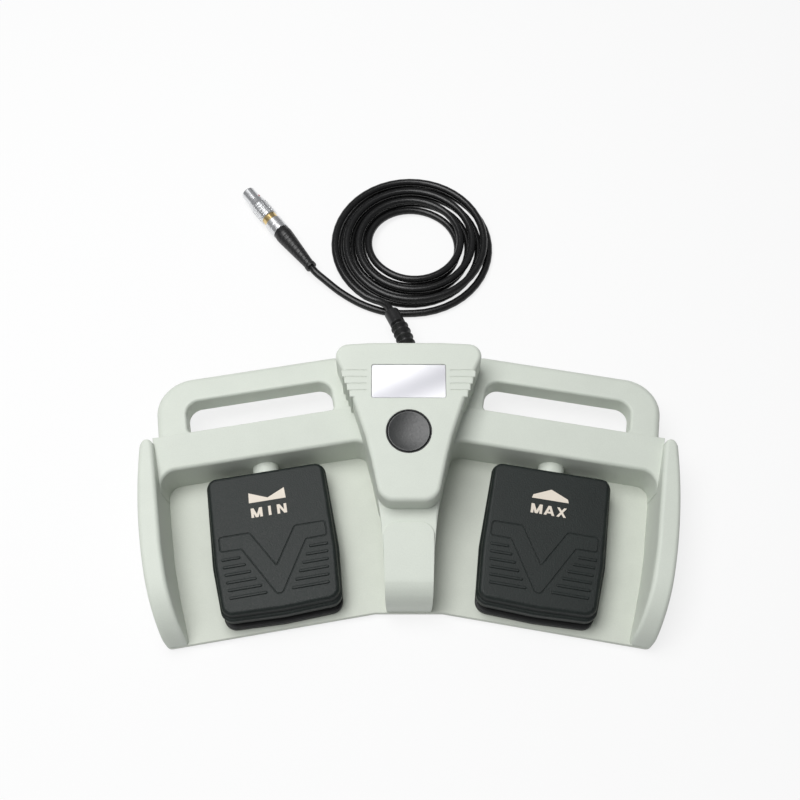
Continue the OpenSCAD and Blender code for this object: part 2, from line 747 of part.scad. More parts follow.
module pedal() {
    difference() {
        union() {
            difference() {
                union() {
                    stack(skirt_corners, concat([[skirt_lean, pedal_low_plane, 0]],
                        top_round(flat(skirt_top), skirt_edge, 2, 1, 0)));
                    stack(panel_corners, concat([[-skirt_lean, flat(skirt_top - over), 0]],
                        top_round(flat(pedal_top), panel_edge, 3, 1, 0)));
                }
                stack(skirt_corners, [
                    [skirt_wall, pedal_low_plane, over],
                    [skirt_wall, flat(skirt_top - skirt_wall), 0]]);
            }
            translate([0, 0, pedal_top - over]) tread_ribs();
            both() translate([ear_in + ear_thick + mate, pin_back, pin_high]) rotate([0, 90, 0])
                cylinder(h = pedal_half*0.955 - skirt_wall/2 - ear_in - ear_thick - mate, d = boss_size);
        }
        translate([0, 0, pedal_top - line_deep]) linear_extrude(line_deep + over) tread_line();
        translate([-pin_reach - mate, pin_back, pin_high]) rotate([0, 90, 0])
            cylinder(h = 2*(pin_reach + mate), d = pin_size + 2*run);
    }
}
module pedal_left() { color([0.22, 0.24, 0.24]) pedal_place(-1) pedal(); }
module pedal_right() { color([0.22, 0.24, 0.24]) pedal_place(1) pedal(); }

pedal_screw_reach = 3;
pedal_screw_places = [for (x = [-1, 1], s = [0.24, 0.86]) [x*pedal_half*0.62, blend(pedal_back, pedal_front, s)]];
module pedal_base() {
    difference() {
        union() {
            plate(base_corners, floor_high, base_high);
            both() translate([ear_in, pin_back - pin_size*0.8, base_high - over]) {
                cube([ear_thick, pin_size*1.6, pin_high - base_high + over]);
                translate([0, pin_size*0.8, pin_high - base_high + over]) rotate([0, 90, 0])
                    cylinder(h = ear_thick, r = pin_size*0.8);
            }
        }
        translate([-pedal_half, pin_back, pin_high]) rotate([0, 90, 0])
            cylinder(h = pedal_width, d = pin_size);
        for (p = pedal_screw_places) translate([p.x, p.y, floor_high - over]) {
            cylinder(h = base_high - floor_high + 2*over, d = screw_size + 2*run);
            translate([0, 0, over + base_high - floor_high - head_deep])
                cylinder(h = head_deep + over, d = screw_head + 4*run);
        }
    }
}
module pedal_base_left() { color([0.12, 0.13, 0.13]) pedal_place(-1) pedal_base(); }
module pedal_base_right() { color([0.12, 0.13, 0.13]) pedal_place(1) pedal_base(); }

module hinge_pin() {
    translate([-pin_reach, pin_back, pin_high]) rotate([0, 90, 0]) cylinder(h = 2*pin_reach, d = pin_size);
}
module hinge_pin_left() { color([0.72, 0.72, 0.74]) pedal_place(-1) hinge_pin(); }
module hinge_pin_right() { color([0.72, 0.72, 0.74]) pedal_place(1) hinge_pin(); }

pedal_spring_r = 7;
pedal_wire = 1.4;
pedal_spring_back = blend(pedal_back, pedal_front, 0.72);
module pedal_spring() {
    translate([0, pedal_spring_back, base_high + tiny])
        coil_spring(pedal_spring_r, pedal_wire, 4, skirt_top - skirt_wall - base_high - 2*tiny);
}
module pedal_spring_left() { color([0.75, 0.75, 0.76]) pedal_place(-1) pedal_spring(); }
module pedal_spring_right() { color([0.75, 0.75, 0.76]) pedal_place(1) pedal_spring(); }

// Snap switch: its plunger stays just clear of the pressed pedal
switch_width = 6.4;
switch_length = 20;
pedal_switch_back = blend(pedal_back, pedal_front, 0.4);
pressed_drop = (pin_back - pedal_switch_back + switch_length/2)*tan(pedal_travel);
pedal_plunger_top = skirt_top - skirt_wall - pressed_drop - mate;
module pedal_switch() {
    translate([-switch_width/2, pedal_switch_back - switch_length/2, base_high])
        cube([switch_width, switch_length, pedal_plunger_top - base_high - plunger_high]);
    translate([0, pedal_switch_back - switch_length/4, base_high])
        cylinder(h = pedal_plunger_top - base_high, d = switch_width*0.47);
}
module pedal_switch_left() { color([0.25, 0.2, 0.2]) pedal_place(-1) pedal_switch(); }
module pedal_switch_right() { color([0.25, 0.2, 0.2]) pedal_place(1) pedal_switch(); }

module pedal_screws() {
    for (p = pedal_screw_places) translate([p.x, p.y, base_high - mate]) mirror([0, 0, 1])
        screw(screw_size, screw_head, head_deep - mate, base_high - mate - floor_high + pedal_screw_reach - run);
}
module pedal_screws_left() { color([0.7, 0.71, 0.72]) pedal_place(-1) pedal_screws(); }
module pedal_screws_right() { color([0.7, 0.71, 0.72]) pedal_place(1) pedal_screws(); }

module wire_duct() {
    difference() {
        translate([0, tray_back + duct_seat - mate, duct_high]) rotate([90, 0, 0]) difference() {
            cylinder(h = tray_back - pedal_back + duct_seat - 3*mate, d = duct_size);
            translate([0, 0, -over]) cylinder(h = bridge_depth, d = wire_way);
        }
        translate([-duct_size, pedal_back, floor_high - duct_size])
            cube([2*duct_size, bridge_depth, duct_size]);
    }
}
module wire_duct_left() { color([0.8, 0.83, 0.79]) pedal_place(-1) wire_duct(); }
module wire_duct_right() { color([0.8, 0.83, 0.79]) pedal_place(1) wire_duct(); }

// Cable routes, in the frame of the whole part
boot_route = [[0, 97, 24], [0, 105, 24], [0, 115, 23], [-2.5, 127, 20.5], [-6, 138, 17.5],
    [-9, 146, 15.5], [-13, 155.5, 13.5]];
lead_route = [[-13, 155.5, 13.5], [-16, 162, 12.3], [-21, 166.5, 11], [-27, 169.5, 10], [-33.3, 172.8, 9.6]];
tail_route = [[4, 161, 3], [-8, 161, 3.04], [-22, 163.5, 3.06], [-38, 170, 3.3], [-54, 180, 4.5],
    [-68, 191.5, 6.6], [-74.4, 197.2, 7.6], [-78, 202, 7.6]];
plug_at = [-78, 202, 7.6];
plug_turn = 36.8;

// Point on a smooth curve through a list of points, and the curve itself
function on_curve(p, i, s) = let (
        a = p[max(i - 1, 0)], b = p[i], c = p[i + 1], d = p[min(i + 2, len(p) - 1)])
    0.5*(2*b + (c - a)*s + (2*a - 5*b + 4*c - d)*s*s + (3*b - 3*c + d - a)*s*s*s);
function smooth(p, steps) = concat(
    [for (i = [0:len(p) - 2], k = [0:steps - 1]) on_curve(p, i, k/steps)], [p[len(p) - 1]]);
// Rings of a tube about a path, with a radius at each point
function tube_rings(path, radii, sides) = let (n = len(path))
    [for (i = [0:n - 1]) let (
            t = unit(path[min(i + 1, n - 1)] - path[max(i - 1, 0)]),
            s = unit(cross(t, [0, 0, 1])), w = cross(s, t))
        [for (k = [0:sides - 1]) path[i] + radii[i]*(s*cos(360*k/sides) - w*sin(360*k/sides))]];
function run_length(path, i) = i == 0 ? 0 : run_length(path, i - 1) + norm(path[i] - path[i - 1]);

// Bellows boot: neck in the wall, ribs, then a plain collar
rib_pitch = 6.2;
rib_reach = 8.2;
rib_root = 5;
collar_r = 7;
collar_long = 11;
collar_edge = 1;
neck_long = 9.5;
rib_step = 0.6;
module cable_boot() {
    color([0.08, 0.08, 0.08]) {
        path = smooth(boot_route, 8);
        long = run_length(path, len(path) - 1);
        first = neck_long;
        last = long - collar_long;
        ribs = floor((last - first)/rib_pitch);
        bellows = [for (k = [0:ribs - 1]) each [[first + k*rib_pitch, rib_root], [first + (k + 0.5)*rib_pitch, rib_reach]]];
        stations = concat([[0, entry_size/2 - run], [first - rib_step, entry_size/2 - run]], bellows,
            [[last - rib_step, rib_root], [last, collar_r], [long - collar_edge, collar_r],
                [long, collar_r - collar_edge]]);
        centres = [for (s = stations) along(path, s.x)];
        skin(tube_rings(centres, [for (s = stations) s.y], 16));
    }
}
// Point at a distance along a path
function along(path, s, i = 0) = let (step = norm(path[i + 1] - path[i]))
    (s <= step || i == len(path) - 2) ? path[i] + (path[i + 1] - path[i])*s/step
        : along(path, s - step, i + 1);

module cable(route, steps) {
    path = smooth(route, steps);
    skin(tube_rings(path, [for (p = path) cable_size/2], 8));
}
module cable_lead() { color([0.07, 0.07, 0.07]) cable(lead_route, 3); }
module cable_tail() { color([0.07, 0.07, 0.07]) cable(tail_route, 2); }

// Coil: an upper layer that spirals inward, a half turn that drops a layer,
// and a lower layer that spirals out again
coil_middle = [4, 226];
coil_out = 65;
coil_in = 36;
coil_start = 235;
coil_turns = 3;
coil_end_turns = 3.4;
coil_steps = 24;
coil_low = cable_size/2;
layer_gap = 0.6;
coil_high = coil_low + cable_size + layer_gap;
function coil_point(turn) = let (
        down = min(max((turn - coil_turns)*2, 0), 1),
        ease = down*down*(3 - 2*down),
        out = max(turn - coil_turns - 0.5, 0)/coil_end_turns,
        r = turn < coil_turns ? blend(coil_out, coil_in, turn/coil_turns) : blend(coil_in, coil_out, out),
        a = coil_start - 360*turn)
    [coil_middle.x + r*cos(a), coil_middle.y + r*sin(a), blend(coil_high, coil_low, ease)];
coil_count = floor((coil_turns + 0.5 + coil_end_turns)*coil_steps);
coil_path = [for (k = [0:coil_count]) coil_point(k*(coil_turns + 0.5 + coil_end_turns)/coil_count)];
coil_gap = min([for (i = [0:3:coil_count]) min([for (j = [i + coil_steps/2:1:coil_count + coil_steps])
    j > coil_count ? coil_out : norm(coil_path[i] - coil_path[j])])]) - cable_size;
module cable_coil() {
    echo(coil_gap = coil_gap);
    color([0.07, 0.07, 0.07]) skin(tube_rings(coil_path, [for (p = coil_path) cable_size/2], 6));
}

// Plug: pieces on one axis, lengths measured from the end of its boot
boot_long = 44;
nut_long = 12;
ring_long = 5.4;
sleeve_long = 20.5;
nose_long = 12.5;
sleeve_travel = 1.5;
plug_edge = 0.4;
plug_r = plug_size/2;
nut_from = boot_long;
ring_from = nut_from + nut_long;
sleeve_from = ring_from + ring_long;
nose_from = sleeve_from + sleeve_long;
plug_long = nose_from + nose_long;
core_r = plug_r*0.83;
nose_r = plug_r*0.78;
insert_r = plug_r*0.6;
latch_size = 2.2;
contact_size = 0.9;
dot_size = 2;
dot_rise = 0.3;
module on_plug(from) {
    translate(plug_at) rotate([-90, 0, plug_turn]) translate([0, 0, from]) children();
}
module plug_boot() {
    color([0.08, 0.08, 0.08]) on_plug(0) rotate_extrude() polygon([
        [0, 0], [cable_size*0.78, 0], [cable_size*0.78, boot_long*0.07], [cable_size*0.7, boot_long*0.08],
        [plug_r*0.93, boot_long*0.82], [plug_r*0.96, boot_long*0.9], [plug_r*0.9, boot_long], [0, boot_long]]);
}
module plug_nut() {
    color([0.8, 0.82, 0.82]) on_plug(nut_from) rotate_extrude() polygon([
        [0, 0], [plug_r - plug_edge, 0], [plug_r, plug_edge], [plug_r, nut_long - plug_edge],
        [plug_r - plug_edge, nut_long], [0, nut_long]]);
}
module plug_ring() {
    color([0.83, 0.7, 0.42]) on_plug(ring_from) difference() {
        cylinder(h = ring_long + sleeve_travel, r = core_r);
        translate([0, 0, -over]) cylinder(h = ring_long + sleeve_travel + 2*over, r = core_r*0.9);
    }
}
knurl_rows = 5;
knurl_count = 18;
knurl_wide = 0.6;
knurl_deep = 0.35;
module plug_sleeve() {
    color([0.84, 0.86, 0.86]) on_plug(sleeve_from) difference() {
        rotate_extrude() polygon([
            [core_r + run, 0], [plug_r - plug_edge, 0], [plug_r, plug_edge], [plug_r, sleeve_long*0.72],
            [plug_r*0.97, sleeve_long*0.75], [plug_r*0.9, sleeve_long], [core_r + run, sleeve_long]]);
        for (k = [1:knurl_rows]) translate([0, 0, k*sleeve_long*0.7/knurl_rows]) difference() {
            cylinder(h = knurl_wide, r = plug_r + over);
            translate([0, 0, -over]) cylinder(h = knurl_wide + 2*over, r = plug_r - knurl_deep);
        }
        for (k = [0:knurl_count - 1]) rotate(360*k/knurl_count)
            translate([plug_r - knurl_deep, -knurl_wide/2, sleeve_long*0.1]) cube([over, knurl_wide, sleeve_long*0.64]);
    }
}
module plug_core() {
    color([0.86, 0.88, 0.88]) on_plug(ring_from) difference() {
        union() {
            cylinder(h = ring_long + sleeve_long, r = core_r*0.9);
            translate([0, 0, ring_long + sleeve_travel]) cylinder(h = sleeve_long - sleeve_travel, r = core_r);
            translate([0, 0, ring_long + sleeve_long]) cylinder(h = nose_long, r = nose_r);
        }
        translate([0, 0, ring_long + sleeve_long - over]) cylinder(h = nose_long + 2*over, r = insert_r + run);
        // Latch windows on either side of the nose
        for (side = [90, 270]) rotate(side)
            translate([insert_r - over, -latch_size/2, ring_long + sleeve_long + nose_long*0.62])
                cube([plug_r, latch_size, latch_size]);
        translate([0, 0, ring_long + sleeve_long]) key_dot(run);
    }
}
// Disc of the key dot; its seat in the nose is wider by the spare
module key_dot(spare) {
    translate([0, 0, nose_long*0.2]) rotate(-30) translate([nose_r - dot_rise, 0, 0])
        rotate([0, 90, 0]) cylinder(h = 2*dot_rise + spare, d = dot_size + 2*spare, $fn = 24);
}
module plug_insert() {
    color([0.2, 0.2, 0.2]) on_plug(nose_from - over)
        cylinder(h = nose_long*0.55 + over, r = insert_r);
}
module plug_contacts() {
    color([0.85, 0.7, 0.35]) on_plug(nose_from + nose_long*0.55) for (k = [0:5])
        rotate(60*k) translate([insert_r*0.6, 0, 0]) cylinder(h = nose_long*0.3, d = contact_size, $fn = 16);
}
module plug_key_dot() {
    color([0.75, 0.1, 0.12]) on_plug(nose_from) key_dot(0);
}

base_tray();
upper_housing();
rubber_feet();
housing_screws();
base_seal();
name_plate();
mode_button();
button_ring();
button_spring();
button_switch();
control_board();
board_screws();
pedal_left();
pedal_right();
pedal_base_left();
pedal_base_right();
hinge_pin_left();
hinge_pin_right();
pedal_spring_left();
pedal_spring_right();
pedal_switch_left();
pedal_switch_right();
pedal_screws_left();
pedal_screws_right();
wire_duct_left();
wire_duct_right();
cable_boot();
cable_lead();
cable_coil();
cable_tail();
plug_boot();
plug_nut();
plug_ring();
plug_sleeve();
plug_core();
plug_insert();
plug_contacts();
plug_key_dot();
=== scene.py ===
"""Double foot switch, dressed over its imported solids.

The housing, pedals, button, plate, boot, cable and plug are made here as numpy
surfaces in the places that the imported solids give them. Lengths are written in
millimetres and turned to metres as a mesh is made.
"""

import json
import math

import bmesh
import bpy
import numpy as np
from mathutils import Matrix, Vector

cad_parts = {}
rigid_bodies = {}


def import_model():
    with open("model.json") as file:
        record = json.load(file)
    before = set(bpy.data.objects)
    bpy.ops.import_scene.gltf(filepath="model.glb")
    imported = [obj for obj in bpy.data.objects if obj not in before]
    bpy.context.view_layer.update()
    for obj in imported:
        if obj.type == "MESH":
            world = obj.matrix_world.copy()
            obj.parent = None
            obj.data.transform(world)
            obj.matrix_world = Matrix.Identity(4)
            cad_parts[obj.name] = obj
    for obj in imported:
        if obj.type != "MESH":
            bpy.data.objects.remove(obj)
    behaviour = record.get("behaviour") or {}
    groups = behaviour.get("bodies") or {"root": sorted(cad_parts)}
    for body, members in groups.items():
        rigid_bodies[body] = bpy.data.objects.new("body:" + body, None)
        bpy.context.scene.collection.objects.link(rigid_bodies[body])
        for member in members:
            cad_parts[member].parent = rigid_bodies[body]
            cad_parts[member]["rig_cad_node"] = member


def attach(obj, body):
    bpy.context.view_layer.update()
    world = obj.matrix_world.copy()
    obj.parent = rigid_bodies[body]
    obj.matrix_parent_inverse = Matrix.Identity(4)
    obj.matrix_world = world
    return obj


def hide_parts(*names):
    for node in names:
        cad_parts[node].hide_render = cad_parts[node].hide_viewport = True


bl_info = {
    "name": "Double Foot Switch",
    "version": (1, 0, 0),
    "blender": (4, 5, 0),
    "location": "View3D > Sidebar > Foot Switch",
    "description": "Builds the looks of a double foot switch over its packed solids",
    "category": "Object",
}

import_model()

MM = 0.001

# Depth of the upright axis that both wings turn about, and their turn
PIVOT = 85.0
WING = math.radians(10)

# Heights in millimetres above the surface that the switch stands on
FLOOR = 5.5
CREASE = 38.0
GUARD = 42.0
NOSE = 54.0

# Places along a wing, measured back from the pivot and out from the middle plane
CREASE_BACK = -17.5
TRAY_BACK = -44.0
WING_FRONT = -161.0
BOW_BACK = -85.0
BOW_REACH = 76.0
BOW = 7.0
RIDGE_HALF = 37.2
TRAY_IN = RIDGE_HALF * 1.056
TRAY_WIDE = 146.4
TRAY_OUT = TRAY_IN + TRAY_WIDE
GUARD_THICK = 17.0


# Flat shapes

def unit(p):
    return p / np.linalg.norm(p)


def quarter(count):
    """Angles from 0 to a right angle."""
    return np.linspace(0, math.pi / 2, count)


def full_turn(count):
    """Angles round a circle, without the last, which is the first again."""
    return np.linspace(0, 2 * math.pi, count, endpoint=False)


def bent(a, b, c, t):
    """Curve of second order from a to c, drawn toward b."""
    return (1 - t) ** 2 * a + 2 * t * (1 - t) * b + t ** 2 * c


def corner_arc(a, b, c, inset, fine):
    """Rounds corner b of the run a, b, c after both edges move inward by inset.

    The arc's middle lies on the corner's halving line, at inset plus the radius
    from both edges, and its points turn evenly from one edge's normal to the next.
    """
    u, v = unit(b[:2] - a[:2]), unit(c[:2] - b[:2])
    p, q = np.array([-u[1], u[0]]), np.array([-v[1], v[0]])
    half = (p + q) / (1 + p @ q)
    if b[3] == 0:
        return (b[:2] + half * inset)[None]
    turn = math.atan2(u[0] * v[1] - u[1] * v[0], u @ v)
    side = -1.0 if turn < 0 else 1.0
    radius = max(b[2] - side * inset, 0.05)
    middle = b[:2] + half * (inset + side * radius)
    angle = math.atan2(p[1], p[0]) + turn * np.linspace(0, 1, int(b[3] * fine) + 1)
    return middle - side * radius * np.stack([np.cos(angle), np.sin(angle)], 1)


def outline(corners, inset, fine=2):
    """Closed outline through corners given as x, y, radius and steps, moved inward by inset."""
    c = np.array(corners, float)
    before, after = np.roll(c, 1, 0), np.roll(c, -1, 0)
    return np.concatenate([corner_arc(*abc, inset, fine) for abc in zip(before, c, after)])


def mirrored(corners):
    """The right half's corners, followed by their mirror images in reverse."""
    return list(corners) + [(-x, y, r, s) for x, y, r, s in reversed(corners) if x > 0.05]


def oblong(x0, y0, x1, y1, r, steps):
    return [(x0, y0, r, steps), (x1, y0, r, steps), (x1, y1, r, steps), (x0, y1, r, steps)]


def flat(z):
    return (z, 0.0, 0.0)


def ring(corners, level, fine=2):
    """Outline at a level given as inset, sloping plane and drop below that plane."""
    inset, plane, drop = level
    p = outline(corners, inset, fine)
    return np.column_stack([p, plane[0] + plane[1] * p[:, 0] + plane[2] * p[:, 1] - drop])


def top_round(plane, radius, steps, way=1, base=0.0):
    """Levels of a quarter-round edge below a plane: inset r(1 - cos t), drop r(1 - sin t)."""
    return [(base + way * radius * (1 - math.cos(t)), plane, radius * (1 - math.sin(t)))
            for t in quarter(steps + 1)]


def low_round(plane, radius, steps, way=1):
    """Levels of a quarter-round edge above a plane: inset r(1 - sin t), rise r(1 - cos t)."""
    return [(way * radius * (1 - math.sin(t)), plane, -radius * (1 - math.cos(t)))
            for t in quarter(steps + 1)]


# Places

def stood(points):
    return points + np.array([0, PIVOT, 0])


def as_given(points):
    return points


def on_wing(side):
    """Turns a wing's points about the upright axis by the wing's angle, and mirrors the left one."""
    def place(points):
        c, s = math.cos(WING), math.sin(WING)
        x, y, z = points.T
        return np.column_stack([side * (x * c + y * s), y * c - x * s + PIVOT, z])
    return place


CONSOLE_BACK = 13.2
CONSOLE_LONG = 117.0
NOSE_BACK = CONSOLE_BACK - CONSOLE_LONG
CONSOLE_SLOPE = 12.5 / CONSOLE_LONG
CONSOLE_PLANE = (NOSE - NOSE_BACK * CONSOLE_SLOPE, 0.0, CONSOLE_SLOPE)


def on_console(back):
    """Puts points on the console's sloping top: x across, y up the slope, z out of it."""
    tilt = math.atan(CONSOLE_SLOPE)

    def place(points):
        x, y, z = points.T
        c, s = math.cos(tilt), math.sin(tilt)
        return np.column_stack([x, back + y * c - z * s + PIVOT,
                                CONSOLE_PLANE[0] + CONSOLE_SLOPE * back + y * s + z * c])
    return place


def along_y(x, y, z):
    """Turns an upright axis to the depth: height becomes distance back."""
    def place(p):
        return stood(np.column_stack([x + p[:, 0], y + p[:, 2], z - p[:, 1]]))
    return place


# Meshes

def mesh_object(name, verts, faces, turned=False):
    """An object at the origin with its points in metres; turned reverses every face."""
    if turned:
        faces = [f[::-1] for f in faces]
    mesh = bpy.data.meshes.new(name)
    mesh.from_pydata((np.asarray(verts) * MM).tolist(), [], faces)
    mesh.update()
    made = bpy.data.objects.new(name, mesh)
    bpy.context.scene.collection.objects.link(made)
    return made


def skin_faces(rows, columns, loop):
    """Quads of a grid of rings, with a cap on its first and last ring, or none on a loop, whose
    last ring meets its first."""
    i, j = np.arange(columns), np.arange(rows if loop else rows - 1)[:, None]
    i2, j2 = (i + 1) % columns, (j + 1) % rows
    quads = np.stack([j * columns + i, j * columns + i2, j2 * columns + i2, j2 * columns + i], -1)
    faces = quads.reshape(-1, 4).tolist()
    return faces if loop else faces + [i[::-1].tolist(), (i + (rows - 1) * columns).tolist()]


def skin(name, rings, place=stood, side=1, loop=False):
    """A closed solid through rings of equal count, anticlockwise seen from the last ring."""
    rings = np.asarray(rings)
    faces = skin_faces(*rings.shape[:2], loop)
    return mesh_object(name, place(rings.reshape(-1, 3)), faces, side < 0)


def stack(name, corners, levels, place=stood, side=1, fine=2):
    return skin(name, [ring(corners, level, fine) for level in levels], place, side)


def lathe_points(profile, sides):
    """Points (r cos a, r sin a, h) of a profile of radius and height turned about its axis."""
    p = np.array(profile, float)
    a = full_turn(sides)
    r = np.maximum(p[:, :1], 1e-4)
    return np.stack([r * np.cos(a), r * np.sin(a), np.broadcast_to(p[:, 1:], (len(p), sides))], -1)


def rounded(profile, radius, steps):
    """Takes the corners off an open profile: each inner point becomes a curve of second order
    between the points a radius before and after it."""
    p = np.array(profile, float)
    out = [p[:1]]
    t = np.linspace(0, 1, steps + 1)[:, None]
    for a, b, c in zip(p[:-2], p[1:-1], p[2:]):
        r = min(radius, np.linalg.norm(b - a) * 0.45, np.linalg.norm(c - b) * 0.45)
        out.append(bent(b + unit(a - b) * r, b, b + unit(c - b) * r, t))
    return np.concatenate(out + [p[-1:]])


def lathe(name, profile, place, sides=64):
    """A solid turned from an open profile that starts and ends on its axis, rising first."""
    return skin(name, lathe_points(profile, sides), place)


def cylinder(name, radius, low, high, place, sides=64):
    return lathe(name, [(radius, low), (radius, high)], place, sides)


def across(name, profile, start, end, place=stood, side=1):
    """Profile of depth and height carried straight along the width."""
    p = np.array(profile, float)
    return skin(name, [np.column_stack([np.full(len(p), x), p]) for x in (start, end)], place, side)


def curve_through(points, steps):
    """Smooth curve through points: on each span a cubic whose slope at a point is half the
    step from the point before it to the point after it."""
    p = np.array(points, float)
    a = np.concatenate([p[:1], p[:-2]])
    b, c = p[:-1], p[1:]
    d = np.concatenate([p[2:], p[-1:]])
    s = (np.arange(steps) / steps)[None, :, None]
    a, b, c, d = (q[:, None, :] for q in (a, b, c, d))
    run = 0.5 * (2 * b + (c - a) * s + (2 * a - 5 * b + 4 * c - d) * s ** 2
                 + (3 * b - 3 * c + d - a) * s ** 3)
    return np.concatenate([run.reshape(-1, 3), p[-1:]])


def run_length(path):
    return np.concatenate([[0], np.cumsum(np.linalg.norm(np.diff(path, axis=0), axis=1))])


def tube_points(path, radii, sides, level=None):
    """Rings about a path: centre + r (s cos a - w sin a), where s lies level across the path,
    or is given, and w stands on both."""
    t = np.gradient(path, axis=0)
    t /= np.linalg.norm(t, axis=1)[:, None]
    if level is None:
        s = np.cross(t, [0, 0, 1.0])
        s /= np.linalg.norm(s, axis=1)[:, None]
    else:
        s = np.broadcast_to(level, t.shape)
    w = np.cross(s, t)
    a = full_turn(sides)[None, :, None]
    r = np.broadcast_to(radii, len(path))[:, None, None]
    return path[:, None] + r * (s[:, None] * np.cos(a) - w[:, None] * np.sin(a))


def carve(base, adds=(), cuts=(), meets=(), solver="MANIFOLD", name=None):
    """Keeps what base shares with some solids, joins others to it, cuts others out of it, and
    removes them all."""
    for way, others in (("INTERSECT", meets), ("UNION", adds), ("DIFFERENCE", cuts)):
        for other in others:
            step = base.modifiers.new(way.lower(), "BOOLEAN")
            step.operation, step.solver, step.object = way, solver, other
    bpy.context.view_layer.update()
    seen = base.evaluated_get(bpy.context.evaluated_depsgraph_get())
    mesh = bpy.data.meshes.new_from_object(seen)
    if len(mesh.polygons) < 6:
        raise RuntimeError(base.name + " came out empty")
    base.modifiers.clear()
    old, base.data = base.data, mesh
    mesh.name = base.name
    bpy.data.meshes.remove(old)
    for other in [*meets, *adds, *cuts]:
        bpy.data.objects.remove(other)
    if name:
        base.name = base.data.name = name
    return base


def split_wide_faces(mesh):
    """Cuts faces of many corners into triangles, welds points that lie within a micrometre, and
    melts away the slivers that a cut leaves."""
    held = bmesh.new()
    held.from_mesh(mesh)
    bmesh.ops.remove_doubles(held, verts=held.verts, dist=0.000001)
    bmesh.ops.dissolve_degenerate(held, edges=held.edges, dist=0.000001)
    wide = [face for face in held.faces if len(face.verts) > 4]
    bmesh.ops.triangulate(held, faces=wide, quad_method="BEAUTY", ngon_method="BEAUTY")
    held.to_mesh(mesh)
    held.free()
    mesh.update()


def finished(made, body, finish, nodes, sharp, weighted=True):
    """Smooths a piece up to an angle, gives it its finish, hangs it from its body and hides the imported
    solids that it stands for.
    """
    mesh = made.data
    mesh.shade_smooth()
    mesh.set_sharp_from_angle(angle=math.radians(sharp))
    mesh.materials.clear()
    mesh.materials.append(finish_named(finish))
    if weighted:
        even = made.modifiers.new("even_normals", "WEIGHTED_NORMAL")
        even.keep_sharp = True
        even.weight = 100
    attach(made, body)
    if nodes:
        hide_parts(*nodes)
    return made


# Shaders

def feed(made, inputs):
    """Links each input of a node to the output given for it, or sets it to the value given."""
    for name, value in inputs.items():
        if hasattr(value, "is_output"):
            made.id_data.links.new(value, made.inputs[name])
        else:
            made.inputs[name].default_value = value
    return made


def node(tree, kind, inputs=None, **settings):
    made = tree.nodes.new("ShaderNode" + kind)
    for key, value in settings.items():
        setattr(made, key, value)
    return feed(made, inputs or {})


def math_node(tree, way, a, b, clamp=False):
    return node(tree, "Math", {0: a, 1: b}, operation=way, use_clamp=clamp).outputs[0]


def noise_node(tree, vector, scale, detail, rough):
    inputs = {"Vector": vector, "Scale": scale, "Detail": detail, "Roughness": rough}
    return node(tree, "TexNoise", inputs).outputs["Fac"]


def mix_colour(tree, mask, a, b, way="MIX"):
    """Colour a going over to b as the mask rises; each is an output or plain numbers."""
    a, b = (c if hasattr(c, "is_output") else (*c[:3], 1.0) for c in (a, b))
    return node(tree, "Mix", {0: mask, 6: a, 7: b}, data_type="RGBA", blend_type=way,
                clamp_factor=True).outputs[2]


def spread(tree, value, low, high, out_low, out_high):
    """Carries a range of values over to another range."""
    return node(tree, "MapRange", {"Value": value, "From Min": low, "From Max": high,
                                   "To Min": out_low, "To Max": out_high}).outputs["Result"]


def object_place(tree):
    return node(tree, "TexCoord").outputs["Object"]


def bump_normal(tree, **inputs):
    """Normal of a bumped surface, from its height, distance and the normal below it."""
    named = {key.title(): value for key, value in inputs.items()}
    return node(tree, "Bump", named).outputs["Normal"]


def wire_grain(group, given):
    """Moulded grain: two sizes of noise raise the surface; a slow one mottles its colour."""
    place = object_place(group)
    fine = noise_node(group, place, given["Grain Scale"], 2.0, 0.6)
    slow = noise_node(group, place, 42.0, 4.0, 0.6)
    wave = noise_node(group, place, 95.0, 2.0, 0.5)
    high = math_node(group, "ADD", fine, math_node(group, "MULTIPLY", wave, given["Waviness"]))
    normal = bump_normal(group, distance=given["Depth"], height=high, normal=given["Soft Edge"])
    return {"Grain": fine, "Mottle": slow, "Normal": normal}


def wire_edges(group, given):
    """Rounded edges: the normal averaged over a small radius, and a mask of where it turns."""
    soft = node(group, "Bevel", {"Radius": given["Radius"]}, samples=6).outputs["Normal"]
    true = node(group, "NewGeometry").outputs["Normal"]
    dot = node(group, "VectorMath", {0: soft, 1: true}, operation="DOT_PRODUCT").outputs["Value"]
    lost = math_node(group, "SUBTRACT", 1.0, dot, True)
    return {"Normal": soft, "Edge": math_node(group, "MULTIPLY", lost, 6.0, True)}


def wire_dust(group, given):
    """Dust: a mask that gathers on level faces, broken up by noise."""
    place = node(group, "TexCoord")
    up = node(group, "SeparateXYZ", {0: place.outputs["Normal"]}).outputs["Z"]
    specks = noise_node(group, place.outputs["Object"], 260.0, 5.0, 0.7)
    lying = math_node(group, "MULTIPLY", up, specks, True)
    return {"Dust": math_node(group, "MULTIPLY", lying, given["Amount"], True)}


# Each group's wiring, its inputs with their values, and its outputs
GROUPS = {
    "moulded_grain": (wire_grain,
                      {"Grain Scale": 1500.0, "Depth": 0.00005, "Waviness": 0.15, "Soft Edge": None},
                      ("Grain", "Mottle", "Normal")),
    "soft_edges": (wire_edges, {"Radius": 0.0006}, ("Normal", "Edge")),
    "settled_dust": (wire_dust, {"Amount": 0.1}, ("Dust",)),
}


